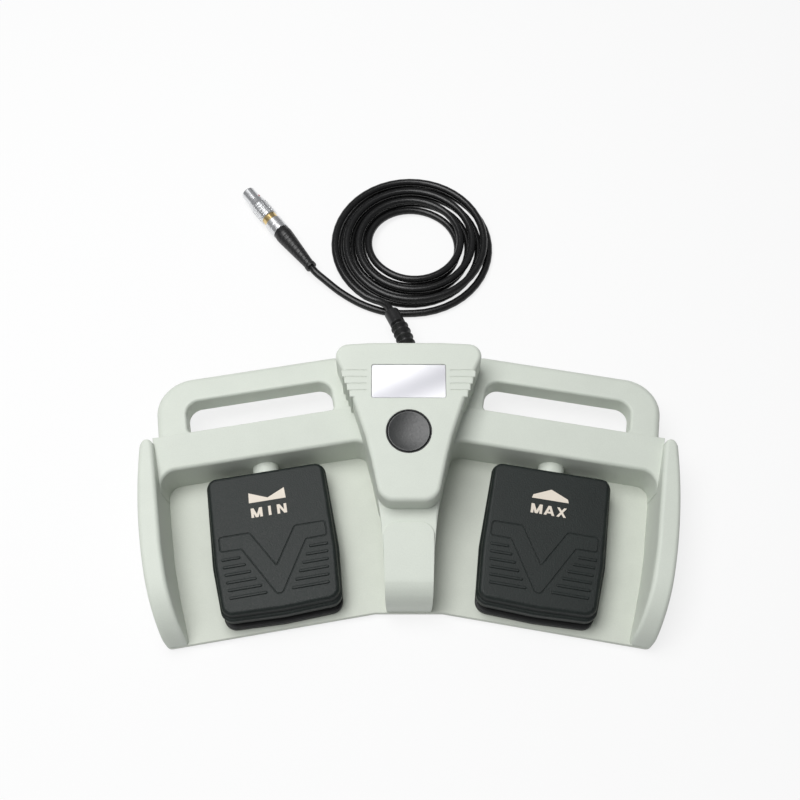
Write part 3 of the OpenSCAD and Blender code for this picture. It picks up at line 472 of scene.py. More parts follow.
def use_group(tree, name, inputs):
    """Outputs of the group of that name, which is wired the first time it is asked for."""
    group = bpy.data.node_groups.get(name)
    if group is None:
        group = bpy.data.node_groups.new(name, "ShaderNodeTree")
        wire, given, results = GROUPS[name]
        for way, labels in (("INPUT", given), ("OUTPUT", results)):
            for label in labels:
                kind = "NodeSocketVector" if label in ("Normal", "Soft Edge") else "NodeSocketFloat"
                made = group.interface.new_socket(name=label, in_out=way, socket_type=kind)
                if way == "INPUT" and given[label] is not None:
                    made.default_value = given[label]
        start, end = group.nodes.new("NodeGroupInput"), group.nodes.new("NodeGroupOutput")
        feed(end, wire(group, start.outputs))
    return node(tree, "Group", inputs, node_tree=group).outputs


def linear(colour):
    """Linear light of a colour written as it is seen, 0 to 255."""
    c = np.array(colour, float) / 255
    return tuple(np.where(c <= 0.04045, c / 12.92, ((c + 0.055) / 1.055) ** 2.4))


def new_material(name):
    made = bpy.data.materials.new(name)
    made.use_nodes = True
    tree = made.node_tree
    return made, tree, tree.nodes["Principled BSDF"]


def varied(tree, mask, colour, share):
    """A colour that goes from a share below itself to the same share above as the mask rises."""
    base = np.array(colour)
    return mix_colour(tree, mask, base * (1 - share), np.minimum(base * (1 + share), 1))


def moulded(name, colour, grain, depth, rough, edge, edge_light, mottle, dust,
            dust_colour=(0.72, 0.72, 0.69), specular=0.5, speckle=0.02):
    """Moulded plastic or rubber: grained, faintly mottled, lighter where its edges are worn."""
    made, tree, shader = new_material(name)
    edges = use_group(tree, "soft_edges", {"Radius": edge})
    body = use_group(tree, "moulded_grain",
                     {"Grain Scale": grain, "Depth": depth, "Soft Edge": edges["Normal"]})
    settled = use_group(tree, "settled_dust", {"Amount": dust})
    toned = varied(tree, spread(tree, body["Mottle"], 0.3, 0.7, 0.0, 1.0), colour, mottle)
    wear = spread(tree, body["Mottle"], 0.35, 0.65, edge_light * 0.4, edge_light)
    worn = math_node(tree, "MULTIPLY", edges["Edge"], wear, True)
    lit = mix_colour(tree, worn, toned, np.minimum(np.array(colour) * 1.25 + 0.08, 1))
    dots = spread(tree, body["Grain"], 0.35, 0.65, 1 - speckle, 1 + speckle)
    lit = mix_colour(tree, 1.0, lit, dots, "MULTIPLY")
    feed(shader, {"Base Color": mix_colour(tree, settled["Dust"], lit, dust_colour),
                  "Roughness": spread(tree, body["Grain"], 0.3, 0.7, *rough),
                  "Normal": body["Normal"], "Specular IOR Level": specular})
    return made


def metal(name, colour, rough, stretch=(1.0, 1.0, 1.0), scale=900.0):
    """Turned, drawn or brushed metal: stretched noise scores it and spreads its gloss."""
    made, tree, shader = new_material(name)
    place = object_place(tree)
    turned = node(tree, "Mapping", {"Scale": stretch, "Vector": place}).outputs["Vector"]
    score = noise_node(tree, turned, scale, 4.0, 0.65)
    cloud = noise_node(tree, place, 120.0, 3.0, 0.6)
    edges = use_group(tree, "soft_edges", {"Radius": 0.0002})
    normal = bump_normal(tree, distance=0.0000015, height=score, normal=edges["Normal"])
    feed(shader, {"Base Color": varied(tree, cloud, colour, 0.08), "Metallic": 1.0,
                  "Roughness": spread(tree, score, 0.3, 0.7, *rough), "Normal": normal})
    return made


def plate_silver(name):
    """Bare plate: fine brushing along its width, under broad slanting bands of painted reflected light and
    shade.
    """
    made, tree, shader = new_material(name)
    place = object_place(tree)
    slant = node(tree, "Mapping", {"Vector": place, "Location": (0.0, -0.068, 0.0),
                                   "Rotation": (0.0, 0.0, math.radians(-24))}).outputs["Vector"]
    bands = node(tree, "TexWave", {"Vector": slant, "Scale": 9.0, "Distortion": 2.2, "Detail": 2.0,
                                   "Detail Scale": 0.8, "Phase Offset": 2.1},
                 wave_type="BANDS", bands_direction="Y", wave_profile="SIN")
    fine = node(tree, "Mapping", {"Scale": (1.0, 24.0, 24.0), "Vector": place}).outputs["Vector"]
    brush = noise_node(tree, fine, 160.0, 4.0, 0.7)
    # Painted reflection: broad slanting bands of light and shade mixed into the plate's base colour
    painted_light_bands = mix_colour(tree, bands.outputs["Fac"], (0.42, 0.42, 0.45), (0.74, 0.74, 0.76))
    edges = use_group(tree, "soft_edges", {"Radius": 0.0003})
    scored = spread(tree, brush, 0.3, 0.7, 0.0, 0.2)
    feed(shader, {"Base Color": mix_colour(tree, scored, painted_light_bands, (0.55, 0.55, 0.58)),
                  "Roughness": spread(tree, brush, 0.3, 0.7, 0.34, 0.5), "Metallic": 0.35,
                  "Normal": bump_normal(tree, distance=0.000008, height=brush, normal=edges["Normal"])})
    return made


def stage_material(name, colour, glow):
    """Pale paper: it takes the object's shadow, and the camera and mirrors also see its own glow."""
    made, tree, shader = new_material(name)
    tree.nodes.remove(shader)
    plain = node(tree, "BsdfDiffuse", {"Color": (*colour, 1)})
    light = node(tree, "Emission", {"Color": (1, 1, 1, 1), "Strength": 1.0})
    rays = node(tree, "LightPath").outputs
    seen = math_node(tree, "MAXIMUM", rays["Is Camera Ray"], rays["Is Glossy Ray"])
    seen = math_node(tree, "MAXIMUM", seen, rays["Is Transmission Ray"])
    mix = node(tree, "MixShader", {0: math_node(tree, "MULTIPLY", seen, glow), 1: plain.outputs[0],
                                   2: light.outputs[0]})
    feed(tree.nodes["Material Output"], {"Surface": mix.outputs[0]})
    return made


# Each plastic: its colour or the name of its tone, scale and depth of its grain, roughness,
# radius and lightness of its worn edges, mottle, dust, and what else differs
GREY_DUST = {"dust_colour": (0.1, 0.1, 0.1)}
PLASTICS = {
    "housing": ("housing", 1350, 0.00006, (0.48, 0.62), 0.0009, 0.18, 0.02, 0.03, {}),
    "tray": ("tray", 1350, 0.00006, (0.5, 0.64), 0.0006, 0.18, 0.03, 0.05, {}),
    "pedal": ("pedal", 1100, 0.00022, (0.42, 0.58), 0.0005, 0.14, 0.1, 0.02,
              {"dust_colour": (0.1, 0.1, 0.095), "specular": 0.32, "speckle": 0.4}),
    "dark": ((0.012, 0.0125, 0.013), 1700, 0.00005, (0.45, 0.6), 0.0004, 0.2, 0.1, 0.03, GREY_DUST),
    "button": ("button", 700, 0.00004, (0.26, 0.38), 0.0003, 0.12, 0.15, 0.03, GREY_DUST),
    "rubber": ((0.012, 0.012, 0.0125), 1100, 0.00007, (0.5, 0.68), 0.0004, 0.25, 0.15, 0.04,
               {"dust_colour": (0.12, 0.12, 0.12)}),
    "boot": ((0.009, 0.009, 0.0095), 900, 0.00005, (0.3, 0.45), 0.0003, 0.3, 0.15, 0.02, GREY_DUST),
    "jacket": ((0.006, 0.006, 0.0063), 650, 0.000006, (0.24, 0.36), 0.0002, 0.06, 0.1, 0.01,
               {"dust_colour": (0.05, 0.05, 0.05), "specular": 0.4}),
    "print": ("print_ink", 1900, 0.00004, (0.5, 0.65), 0.0001, 0.05, 0.06, 0.03, {}),
    "board": ((0.03, 0.14, 0.06), 420, 0.00004, (0.3, 0.5), 0.0002, 0.2, 0.25, 0.1, {}),
    "red": ((0.45, 0.02, 0.03), 900, 0.00002, (0.2, 0.3), 0.0002, 0.1, 0.05, 0.0, {}),
}
# Each metal: its colour and roughness, then the stretch and scale of its scoring
METALS = {
    "chrome": ((0.80, 0.81, 0.82), (0.24, 0.36), (1.0, 1.0, 1.0), 700),
    "gold": ((0.80, 0.60, 0.28), (0.2, 0.32)),
    "screw": ((0.62, 0.62, 0.63), (0.3, 0.46)),
    "pin": ((0.68, 0.68, 0.7), (0.22, 0.36), (1, 12, 12)),
    "spring": ((0.58, 0.58, 0.6), (0.25, 0.4)),
}


def finish_named(name):
    """The finish of that name, made the first time it is asked for."""
    if name in bpy.data.materials:
        return bpy.data.materials[name]
    if name in METALS:
        return metal(name, *METALS[name])
    if name not in PLASTICS:
        return plate_silver(name)
    colour, *traits, others = PLASTICS[name]
    if isinstance(colour, str):
        colour = getattr(bpy.context.scene.foot_switch_tones, colour)
    return moulded(name, colour, *traits, **others)


# Housing

def ridge_side(b):
    return RIDGE_HALF + BOW * ((b - BOW_BACK) / BOW_REACH) ** 2


def tray_side(b):
    """Outer side of a tray, which draws in toward the front from this place on."""
    start = -95.0
    return TRAY_OUT - 5.8 * (np.maximum(0, start - b) / (start - WING_FRONT)) ** 1.5


def guard_side(b):
    return TRAY_OUT + GUARD_THICK - BOW * ((b - BOW_BACK) / BOW_REACH) ** 2


def tray_corners(front, steps, inset=0.0):
    """Tray outline in a wing: open front, round rear corners, a bowed ridge side."""
    corner = 9.5
    run = np.linspace(front, TRAY_BACK, steps + 1)[1:-1]
    rows = [(ridge_side(front), front, 0, 0), (tray_side(front) - inset, front, 0, 0)]
    rows += [(tray_side(b) - inset, b, 0, 0) for b in run]
    rows += [(TRAY_OUT - inset, TRAY_BACK, corner, 6), (ridge_side(TRAY_BACK), TRAY_BACK, corner, 6)]
    return rows + [(ridge_side(b), b, 0, 0) for b in run[::-1]]


BRIDGE_SLOPE = 6.0 / (CREASE_BACK - TRAY_BACK)
BRIDGE_PLANE = (CREASE - CREASE_BACK * BRIDGE_SLOPE, 0.0, BRIDGE_SLOPE)
BRIDGE_END = TRAY_OUT + GUARD_THICK * 0.18
LEAN = 1.8
LIP_BACK = WING_FRONT - 6.6
RIDGE_FRONT = LIP_BACK + 0.6
RIDGE_LEAN = -0.9


def bridge(side):
    """Bridge behind a tray: a sloping block, less the tray's leaning and rounded rear wall."""
    edge = 2.4
    front = TRAY_BACK - 12.35
    place = on_wing(side)
    low = BRIDGE_PLANE[0] + BRIDGE_PLANE[2] * front
    section = [(CREASE_BACK, FLOOR), (CREASE_BACK, CREASE), (front, low), (front, FLOOR)]
    block = across("bridge", section, 0, BRIDGE_END, place, side)
    cut = stack("cut", tray_corners(front - 4.4, 1, 0.4), [
        (0, flat(FLOOR - 1), 0), (-0.3, flat(FLOOR + 1.5), 0)]
        + top_round(BRIDGE_PLANE, edge, 7, -1, -LEAN)
        + [(-LEAN - edge, flat(GUARD + 1), 0)], place, side, 3)
    return carve(block, cuts=[cut])


def ridge_profile(rise):
    """Ridge from front to rear seen from the side: level top, an easing curve into the slope,
    then a round fall at the front."""
    t = quarter(13)
    top = CREASE + rise
    fall = np.column_stack([RIDGE_FRONT + 16.0 * (1 - np.sin(t)), top - 2.6 - 19.0 * (1 - np.cos(t))])
    start, middle, end = (np.array(p) for p in (
        (NOSE_BACK - 6.0, top), (NOSE_BACK - 19.0, top - 0.9), tuple(fall[0])))
    ease = bent(start, middle, end, np.linspace(0, 1, 9)[1:-1][:, None])
    return np.concatenate([[(TRAY_BACK, FLOOR), (TRAY_BACK, top), (NOSE_BACK - 6.0, top)],
                           ease, fall, [(RIDGE_FRONT, FLOOR)]])


def centre_ridge():
    """Ridge between the trays with its raised pad, less both trays' inner walls."""
    half, edge = RIDGE_HALF * 0.45, 1.2
    block = across("ridge", ridge_profile(0), -26, 26)
    raised = across("raised", ridge_profile(1.0), -24, 24)
    pad = mirrored([(half, RIDGE_FRONT - 1, 0, 0), (half * 1.05, NOSE_BACK - 9.5, 9.5, 6)])
    column = stack("column", pad, [(0, flat(FLOOR), 0), (0, flat(NOSE), 0)])
    carve(raised, meets=[column])
    cuts = [stack("cut", tray_corners(WING_FRONT - 13.2, 16), [
        (0, flat(FLOOR - 1), 0), (-0.25, flat(FLOOR + edge), 0)]
        + top_round(flat(CREASE - 0.2), edge, 4, -1, -RIDGE_LEAN)
        + [(-RIDGE_LEAN - edge, flat(CREASE + 3), 0)], on_wing(s), s) for s in (1, -1)]
    return carve(block, adds=[raised], cuts=cuts)


def guard_wall(side):
    """Guard wall: its section, with a leaning inner face and two round top edges, is carried
    from the round front tip to the rear end; its top falls to the tip as a quarter ellipse."""
    fall, tip = 43.0, 4.5
    back = CREASE_BACK - 2.1
    places = np.concatenate([
        WING_FRONT + fall * (1 - np.cos(quarter(22))),
        np.linspace(WING_FRONT + fall, back - tip, 14)[1:],
        back - tip * (1 - np.sin(quarter(9)[1:]))])
    t = np.clip((WING_FRONT + fall - places) / fall, 0, 1)
    top = np.where(places < WING_FRONT + fall, FLOOR - 3.5 + 38.5 * np.sqrt(np.maximum(0, 1 - t * t)),
                   GUARD - 1.5 * (back - places) / (back - WING_FRONT - fall))
    top = np.maximum(top, FLOOR + 0.8)
    near = np.clip(1 - np.minimum(places - WING_FRONT, back - places) / tip, 0, 1)
    draw = 0.7 * tip * (1 - np.sqrt(np.maximum(0, 1 - near * near)))
    lean = 2.6 * (top - FLOOR) / 36.5
    inner, outer = tray_side(places) + draw, guard_side(places) - draw
    rise = np.minimum(3.2, np.minimum((top - FLOOR) * 0.6, (outer - inner - lean) * 0.4))[:, None]
    k = quarter(9)
    in_x = (inner + lean)[:, None] + rise * (1 - np.cos(k))
    out_x = (outer - 0.05)[:, None] - rise * (1 - np.cos(k[::-1]))
    in_z, out_z = (top[:, None] - rise * (1 - np.sin(a)) for a in (k, k[::-1]))
    low = np.full(len(places), FLOOR)
    x = np.column_stack([inner, in_x, out_x, outer])
    z = np.column_stack([low, in_z, out_z, low])
    y = np.broadcast_to(places[:, None], x.shape)
    return skin("guard", np.stack([x, y, z], -1)[:, ::-1], on_wing(side), -side)


def hand_loop(side):
    """Hand loop: a plate that falls to the rear, with round edges and a rounded hand slot."""
    reach, slot_long, soft = 46.5, 106, 2.5
    low, side_x = CREASE - 20.0, TRAY_OUT - 0.6
    back = CREASE_BACK + reach
    fall = 3.5 / reach
    plane = (CREASE - 0.3 + CREASE_BACK * fall, 0.0, -fall)
    inner, slant = CONSOLE_HALF * 2 * 0.31, 14.35
    corners = [(inner, CREASE_BACK - 5, 0, 0), (side_x, CREASE_BACK - 5, 0, 0), (side_x, back, 27, 10),
               (inner + slant, back, 8, 4), (inner, back - slant, 0, 0)]
    edge = side_x - 21.5
    near, far = CREASE_BACK + 0.05, CREASE_BACK + 26
    slot = [(edge - slot_long, near, 4.5, 4), (edge, near, 4.5, 4),
            (edge, far, 10, 6), (edge - slot_long, far, 10, 6)]
    place = on_wing(side)
    bar = stack("loop", corners, low_round(flat(low), 4, 6) + top_round(plane, 5, 8), place, side)
    hole = stack("slot", slot, [(-soft, flat(low - 1), 0)] + low_round(flat(low), soft, 5, -1)
                 + top_round((plane[0] + 0.12, 0.0, plane[2]), soft, 6, -1)
                 + [(-soft, flat(CREASE + 2), 0)], place, side, 3)
    return carve(bar, cuts=[hole])


# The console's side in plan, from its nose back, as shares of its half width and its length
CONSOLE_HALF = 56.75
CONSOLE_SHARES = ((0.346, 1.0), (0.391, 0.905), (0.462, 0.742),
                  (0.54, 0.595), (0.695, 0.368), (0.84, 0.184))
LOUVRES = 4


def console_outline(slant):
    """Console in plan: its nose, its narrowing sides and its rear, set back by the slant."""
    rows = [(CONSOLE_HALF * x, CONSOLE_BACK - CONSOLE_LONG * y, 12 if i == 0 else 0, 8 if i == 0 else 0)
            for i, (x, y) in enumerate(CONSOLE_SHARES)]
    rows += [(CONSOLE_HALF, CONSOLE_BACK + slant - CONSOLE_LONG * 0.016, 9, 8),
             (CONSOLE_HALF * 0.45, CONSOLE_BACK + slant, 60, 4)]
    return mirrored(rows)


def louvre_at(k):
    (ax, ay), (cx, cy) = CONSOLE_SHARES[5], CONSOLE_SHARES[4]
    s = 0.03 + 0.93 * k / LOUVRES
    return CONSOLE_HALF * (ax + (cx - ax) * s), CONSOLE_BACK - CONSOLE_LONG * (ay + (cy - ay) * s)


def louvre_tooth(k, side):
    """One louvre: a wedge that stands out at its front edge and dies away behind."""
    deep, edge = 3.4, 0.9
    (rx, ry), (fx, fy) = louvre_at(k), louvre_at(k + 1)
    rows = [(fx - deep, fy, 0, 0), (fx + 1.8, fy, 0.4, 3), (rx + 0.36, ry, 0, 0), (rx - deep, ry, 0, 0)]
    levels = top_round(CONSOLE_PLANE, edge, 4)[:-1] + [(edge, CONSOLE_PLANE, 0.02)]
    return stack("tooth", rows, [(0, flat(CREASE - 3.4), 0)] + levels,
                 lambda p: stood(p * np.array([side, 1, 1])), side)


def louvre_groove(k, side):
    """The line behind a louvre: level over the top, round the edge and down the side."""
    x, y = louvre_at(k)
    high = CONSOLE_PLANE[0] + CONSOLE_SLOPE * y
    t = quarter(7)
    bend = np.column_stack([x - 2.2 + 2.6 * np.sin(t), np.full(7, y), high - 2.5 + 2.6 * np.cos(t)])
    path = np.concatenate([[(29.5, y, high + 0.1)], bend, [(x + 0.6, y, high - 11.0)]])
    path[:, 0] *= side
    return skin("groove", tube_points(path, 0.52, 8, (0.0, 1.0, 0.0)))


def console():
    """Console with a round top edge; its rear leans, so its foot is the wider outline."""
    rings = [ring(console_outline(8.0), (0, flat(FLOOR), 0))]
    rings += [ring(console_outline(0.0), level) for level in top_round(CONSOLE_PLANE, 3.0, 8)]
    return skin("console", rings)


PLATE_BACK = -17.1
BUTTON_BACK = -54.3
BUTTON_R = 14.9


def make_housing():
    """The whole moulding, less the plate's recess, the button's bore and seat, and the cable's hole."""
    on_button = on_console(BUTTON_BACK)
    cuts = [stack("plate_hole", mirrored([(26.35, -12.75, 1.6, 4), (26.35, 12.75, 1.6, 4)]),
                  [(0, flat(-1.2), 0), (0, flat(2.2), 0)], on_console(PLATE_BACK)),
            cylinder("bore", BUTTON_R + 0.35, -9, 2, on_button),
            cylinder("ring_seat", BUTTON_R + 1.15, -1.2, 2, on_button),
            cylinder("entry", 6.0, 95.0, 130.0, along_y(0, NOSE_BACK, 24.0), 40)]
    adds = [centre_ridge(), bridge(-1)]
    for s in (1, -1):
        adds += [guard_wall(s), hand_loop(s)] + [louvre_tooth(k, s) for k in range(LOUVRES)]
    grooves = [louvre_groove(k, s) for k in range(LOUVRES) for s in (1, -1)]
    adds.append(carve(console(), cuts=grooves, solver="EXACT"))
    housing = carve(bridge(1), adds=adds, cuts=cuts, name="housing_shell")
    split_wide_faces(housing.data)
    return finished(housing, "housing", "housing", ["upper_housing"], 30)


# Pedals

PEDAL_MID = (TRAY_IN + TRAY_OUT) / 2 + 1.0
PEDAL_BACK = TRAY_BACK - 6.8
PEDAL_LONG = 104.0
PEDAL_HALF = 44.0
PEDAL_FRONT = PEDAL_BACK - PEDAL_LONG
PEDAL_WIDE = PEDAL_BACK - PEDAL_LONG * 0.62
PEDAL_TOP = FLOOR + 22.5
SKIRT_TOP = PEDAL_TOP - 5.5
PIN_BACK = PEDAL_BACK - 8.5
TRAVEL = math.radians(2.4)


def on_pedal(side, hand=1):
    """Puts points on a pedal; words and marks give the side as hand too, to read the same way
    on both."""
    turn = on_wing(side)

    def place(points):
        return turn(points * np.array([hand, 1, 1]) + np.array([PEDAL_MID, 0, 0]))
    return place


def pedal_corners(rear, mid, front, set_rear, set_front, bow, r):
    """Pedal in plan: its half widths as shares, how far its ends are set in, its front's bow."""
    return mirrored([
        (0, PEDAL_FRONT + set_front - bow, 60, 4),
        (PEDAL_HALF * front, PEDAL_FRONT + set_front, r * 1.25, 8),
        (PEDAL_HALF * mid, PEDAL_WIDE, 60, 6),
        (PEDAL_HALF * rear, PEDAL_BACK - set_rear, r, 8)])


SKIRT = pedal_corners(0.968, 1.0, 0.93, 0, 0, 1.6, 7.0)
PANEL = pedal_corners(0.945, 0.955, 0.905, 0.8, 2.6, 1.4, 6.5)
PEDAL_FOOT = pedal_corners(0.955, 0.985, 0.92, -0.3, -1.8, 1.6, 7.0)
TREAD_BACK = PEDAL_WIDE + PEDAL_LONG * 0.18
CHEVRON = ((0, -0.255), (0.357, 0), (0.84, 0), (0.84, -0.102), (0.507, -0.104), (0, -0.476),
           (-0.507, -0.104), (-0.84, -0.102), (-0.84, 0), (-0.357, 0))
CHEVRON_RADII = (0.6, 2.5, 2.0, 2.0, 1.6, 3.2, 1.6, 2.0, 2.0, 2.5)


def tread_line(side):
    """The groove round the chevron: a tube of small radius carried along its rounded outline."""
    path = outline([(x * PEDAL_HALF, TREAD_BACK + y * PEDAL_LONG, r, 5)
                    for (x, y), r in zip(CHEVRON, CHEVRON_RADII)], 0, 1)
    t = np.roll(path, -1, 0) - np.roll(path, 1, 0)
    t /= np.linalg.norm(t, axis=1)[:, None]
    s = np.column_stack([t[:, 1], -t[:, 0], np.zeros(len(t))])
    a = full_turn(10)[None, :, None]
    centre = np.column_stack([path, np.full(len(path), PEDAL_TOP + 0.08)])
    rings = centre[:, None] + 0.5 * (s[:, None] * np.cos(a) + np.array([0, 0, 1.0]) * np.sin(a))
    return skin("line", rings, on_pedal(side), -side, True)


def tread_rib(k, hand, side):
    """One tread rib: a long bar with round ends and a round top."""
    s = k / 5
    out = PEDAL_HALF * (0.836 + (0.772 - 0.836) * s)
    near = PEDAL_HALF * (0.54 + (0.19 - 0.54) * s)
    b = TREAD_BACK + PEDAL_LONG * (-0.16 + (-0.424 + 0.16) * s)
    x0, x1 = sorted((hand * near, hand * out))
    return stack("rib", oblong(x0, b - 0.95, x1, b + 0.95, 0.9, 5),
                 [(0, flat(PEDAL_TOP - 1), 0)] + top_round(flat(PEDAL_TOP + 0.68), 0.6, 4),
                 on_pedal(side), side, 1)


def make_pedal(hand, side):
    """Pedal cover: skirt and top panel with ribs and the chevron's line, hollow below."""
    place = on_pedal(side)
    under = (FLOOR + 4.5 + PIN_BACK * math.tan(TRAVEL), 0.0, -math.tan(TRAVEL))
    skirt = stack("skirt", SKIRT, [(0.9, under, 0), (0.5, under, -0.5)]
                  + top_round(flat(SKIRT_TOP), 2.0, 6), place, side)
    foot = [(inset, flat(SKIRT_TOP + rise), 0) for inset, rise in ((-1.0, -1), (-0.9, 0.02), (-0.35, 0.5))]
    panel = stack("panel", PANEL, foot + top_round(flat(PEDAL_TOP), 3.0, 9), place, side)
    hollow = stack("hollow", SKIRT, [(3, under, 1), (3, flat(SKIRT_TOP - 3), 0)], place, side, 1)
    ribs = [tread_rib(k, way, side) for k in range(6) for way in (1, -1)]
    cuts = [hollow, tread_line(side)]
    made = carve(skirt, adds=[panel, *ribs], cuts=cuts, name="pedal_cover_" + hand)
    return finished(made, hand + "_pedal", "pedal", ["pedal_" + hand], 34)


def make_pedal_foot(hand, side):
    """Base plate of a pedal with the two ears that hold its hinge pin."""
    place = on_pedal(side)
    levels = low_round(flat(FLOOR), 0.3, 2) + top_round(flat(FLOOR + 4), 1.0, 5)
    plate = stack("foot", PEDAL_FOOT, levels, place, side)
    ears = [stack("ear", oblong(x, PIN_BACK - 4, x + 5, PIN_BACK + 4, 0.4, 2),
                  [(0, flat(FLOOR + 3), 0), (0, flat(FLOOR + 13.3), 0)], place, side, 1)
            for x in (PEDAL_HALF * 0.75, -PEDAL_HALF * 0.75 - 5)]
    made = carve(plate, adds=ears, name="pedal_foot_" + hand)
    return finished(made, "housing", "dark", ["pedal_base_" + hand], 34)


def printed(name, shape, side):
    """A thin plate of a flat shape, sunk into a pedal's top and standing a hair above it."""
    p = np.asarray(shape)
    rings = [np.column_stack([p, np.full(len(p), z)]) for z in (PEDAL_TOP - 0.3, PEDAL_TOP + 0.06)]
    return skin(name, rings, on_pedal(side, side))


def make_mark(hand, side):
    """The printed sign above a pedal's word: a notched band on the left, a low peak on the right."""
    if side < 0:
        rows = [(-13, 0), (13, 0), (12.6, 8.0), (0.4, 2.2), (-12.6, 7.6)]
    else:
        rows = [(-13, 0), (13, 0), (12.2, 2.6), (0, 8.2), (-12.2, 2.6)]
    made = printed("pedal_sign_" + hand, np.array(rows, float) + np.array([0.7 * side, -74.8]), side)
    return finished(made, hand + "_pedal", "print", (), 20, False)


STROKE = 0.27
WORD_HIGH = 7.0
WORD_WIDE = 25.0
WORD_BACK = -86.0


def stroke(x0, y0, x1, y1):
    """A letter's stroke with level ends, between heights given as shares of the letter's own."""
    half = STROKE / 2
    return ((x0 - half, y0), (x0 + half, y0), (x1 + half, y1), (x1 - half, y1))


# Each capital: its width, then its strokes, all as shares of its height
CAPITALS = {
    "M": (1.14, (stroke(0.135, 0, 0.135, 1), stroke(0.57, 0, 0.16, 1), stroke(0.57, 0, 0.98, 1),
                 stroke(1.005, 0, 1.005, 1))),
    "I": (0.27, (stroke(0.135, 0, 0.135, 1),)),
    "N": (0.96, (stroke(0.135, 0, 0.135, 1), stroke(0.80, 0, 0.16, 1), stroke(0.825, 0, 0.825, 1))),
    "A": (1.08, (stroke(0.135, 0, 0.54, 1), stroke(0.945, 0, 0.54, 1),
                 ((0.3, 0.19), (0.78, 0.19), (0.72, 0.39), (0.36, 0.39)))),
    "X": (1.02, (stroke(0.15, 0, 0.87, 1), stroke(0.87, 0, 0.15, 1))),
}


def make_word(hand, side, text):
    """A plain word in heavy capitals: each stroke is a thin plate, and the plates are joined."""
    widths = [CAPITALS[letter][0] * WORD_HIGH for letter in text]
    gap = (WORD_WIDE - sum(widths)) / (len(text) - 1)
    plates = []
    left = 0.5 * side - WORD_WIDE / 2
    for letter, width in zip(text, widths):
        for shape in CAPITALS[letter][1]:
            p = np.array(shape, float) * WORD_HIGH + np.array([left, WORD_BACK])
            plates.append(printed("stroke", p, side))
        left += width + gap
    made = carve(plates[0], adds=plates[1:], name="pedal_word_" + hand)
    return finished(made, hand + "_pedal", "print", (), 20, False)


# Button and plate

def make_button():
    """Cap turned from a profile: flange, straight side, small round rim and a shallow dish whose
    depth falls with the square of the distance from its middle."""
    dish_r, flange_r, stem_r = BUTTON_R - 0.9, BUTTON_R + 0.1, 4.5
    r = np.linspace(dish_r, 0, 16)
    dish = np.column_stack([r, 0.22 - 1.15 * (1 - (r / dish_r) ** 2)])
    t = quarter(6)
    rim = np.column_stack([BUTTON_R - 0.55 * (1 - np.cos(t)), -0.3 + 0.55 * np.sin(t)])
    profile = np.concatenate([[(0, -9.4), (stem_r, -9.4), (stem_r, -5.7), (flange_r, -5.7),
                               (flange_r, -3.8), (BUTTON_R, -3.7)], rim, dish])
    place = on_console(BUTTON_BACK)
    cap = lathe("button_cap", profile, place, 96)
    finished(cap, "mode_button_body", "button", ["mode_button"], 40)
    inner, outer = BUTTON_R + 0.33, BUTTON_R + 1.15
    section = [(inner, -1.2), (outer, -1.2), (outer, -0.1), (outer - 0.15, 0.02),
               (inner + 0.15, 0.02), (inner, -0.1)]
    rim_ring = skin("button_rim", lathe_points(section, 96), place, 1, True)
    finished(rim_ring, "housing", "dark", ["button_ring"], 40)


def make_plate():
    made = stack("blank_plate", mirrored([(26.2, -12.6, 1.5, 6), (26.2, 12.6, 1.5, 6)]),
                 [(0, flat(-1.2), 0)] + top_round(flat(-0.3), 0.3, 3), on_console(PLATE_BACK))
    return finished(made, "housing", "silver", ["name_plate"], 40)


# Boot, cable and plug

BOOT_ROUTE = ((0, 97, 24), (0, 105, 24), (0, 115, 23), (-2.5, 127, 20.5), (-6, 138, 17.5),
              (-9, 146, 15.5), (-13, 155.5, 13.5))
LEAD_ROUTE = ((-13, 155.5, 13.5), (-16, 162, 12.3), (-21, 166.5, 11), (-27, 169.5, 10),
              (-33.3, 172.8, 9.6))
TAIL_ROUTE = ((4, 161, 3), (-8, 161, 3.04), (-22, 163.5, 3.06), (-38, 170, 3.3), (-54, 180, 4.5),
              (-68, 191.5, 6.6), (-74.4, 197.2, 7.6), (-78, 202, 7.6))
COIL_MIDDLE = (4.0, 226.0)
COIL_OUT, COIL_IN, COIL_START = 65.0, 36.0, 235.0
COIL_TURNS, COIL_DROP, COIL_END_TURNS = 3.0, 0.5, 3.4
CABLE = 6.0
PLUG_AT = np.array([-78, 202, 7.6])
PLUG_TURN = math.radians(36.8)
PLUG_R = 7.5


def coil_path(steps=48):
    """The coil: an upper layer that spirals inward, half a turn that drops a layer with an
    ease of 3 t squared less 2 t cubed, and a lower layer that spirals out again."""
    whole = COIL_TURNS + COIL_DROP + COIL_END_TURNS
    turn = np.linspace(0, whole, int(whole * steps))
    down = np.clip((turn - COIL_TURNS) * 2, 0, 1)
    ease = down * down * (3 - 2 * down)
    out = np.maximum(turn - COIL_TURNS - COIL_DROP, 0) / COIL_END_TURNS
    r = np.where(turn < COIL_TURNS, COIL_OUT + (COIL_IN - COIL_OUT) * turn / COIL_TURNS,
                 COIL_IN + (COIL_OUT - COIL_IN) * out)
    a = np.radians(COIL_START - 360 * turn)
    high, low = CABLE * 1.5 + 0.6, CABLE / 2
    return np.column_stack([COIL_MIDDLE[0] + r * np.cos(a), COIL_MIDDLE[1] + r * np.sin(a),
                            high + (low - high) * ease])


def on_plug(start):
    """Lays an upright axis along the plug: height becomes distance along it."""
    c, s = math.cos(PLUG_TURN), math.sin(PLUG_TURN)

    def place(p):
        x, y, z = p[:, 0], p[:, 2] + start, -p[:, 1]
        return np.column_stack([x * c - y * s, x * s + y * c, z]) + PLUG_AT
    return place


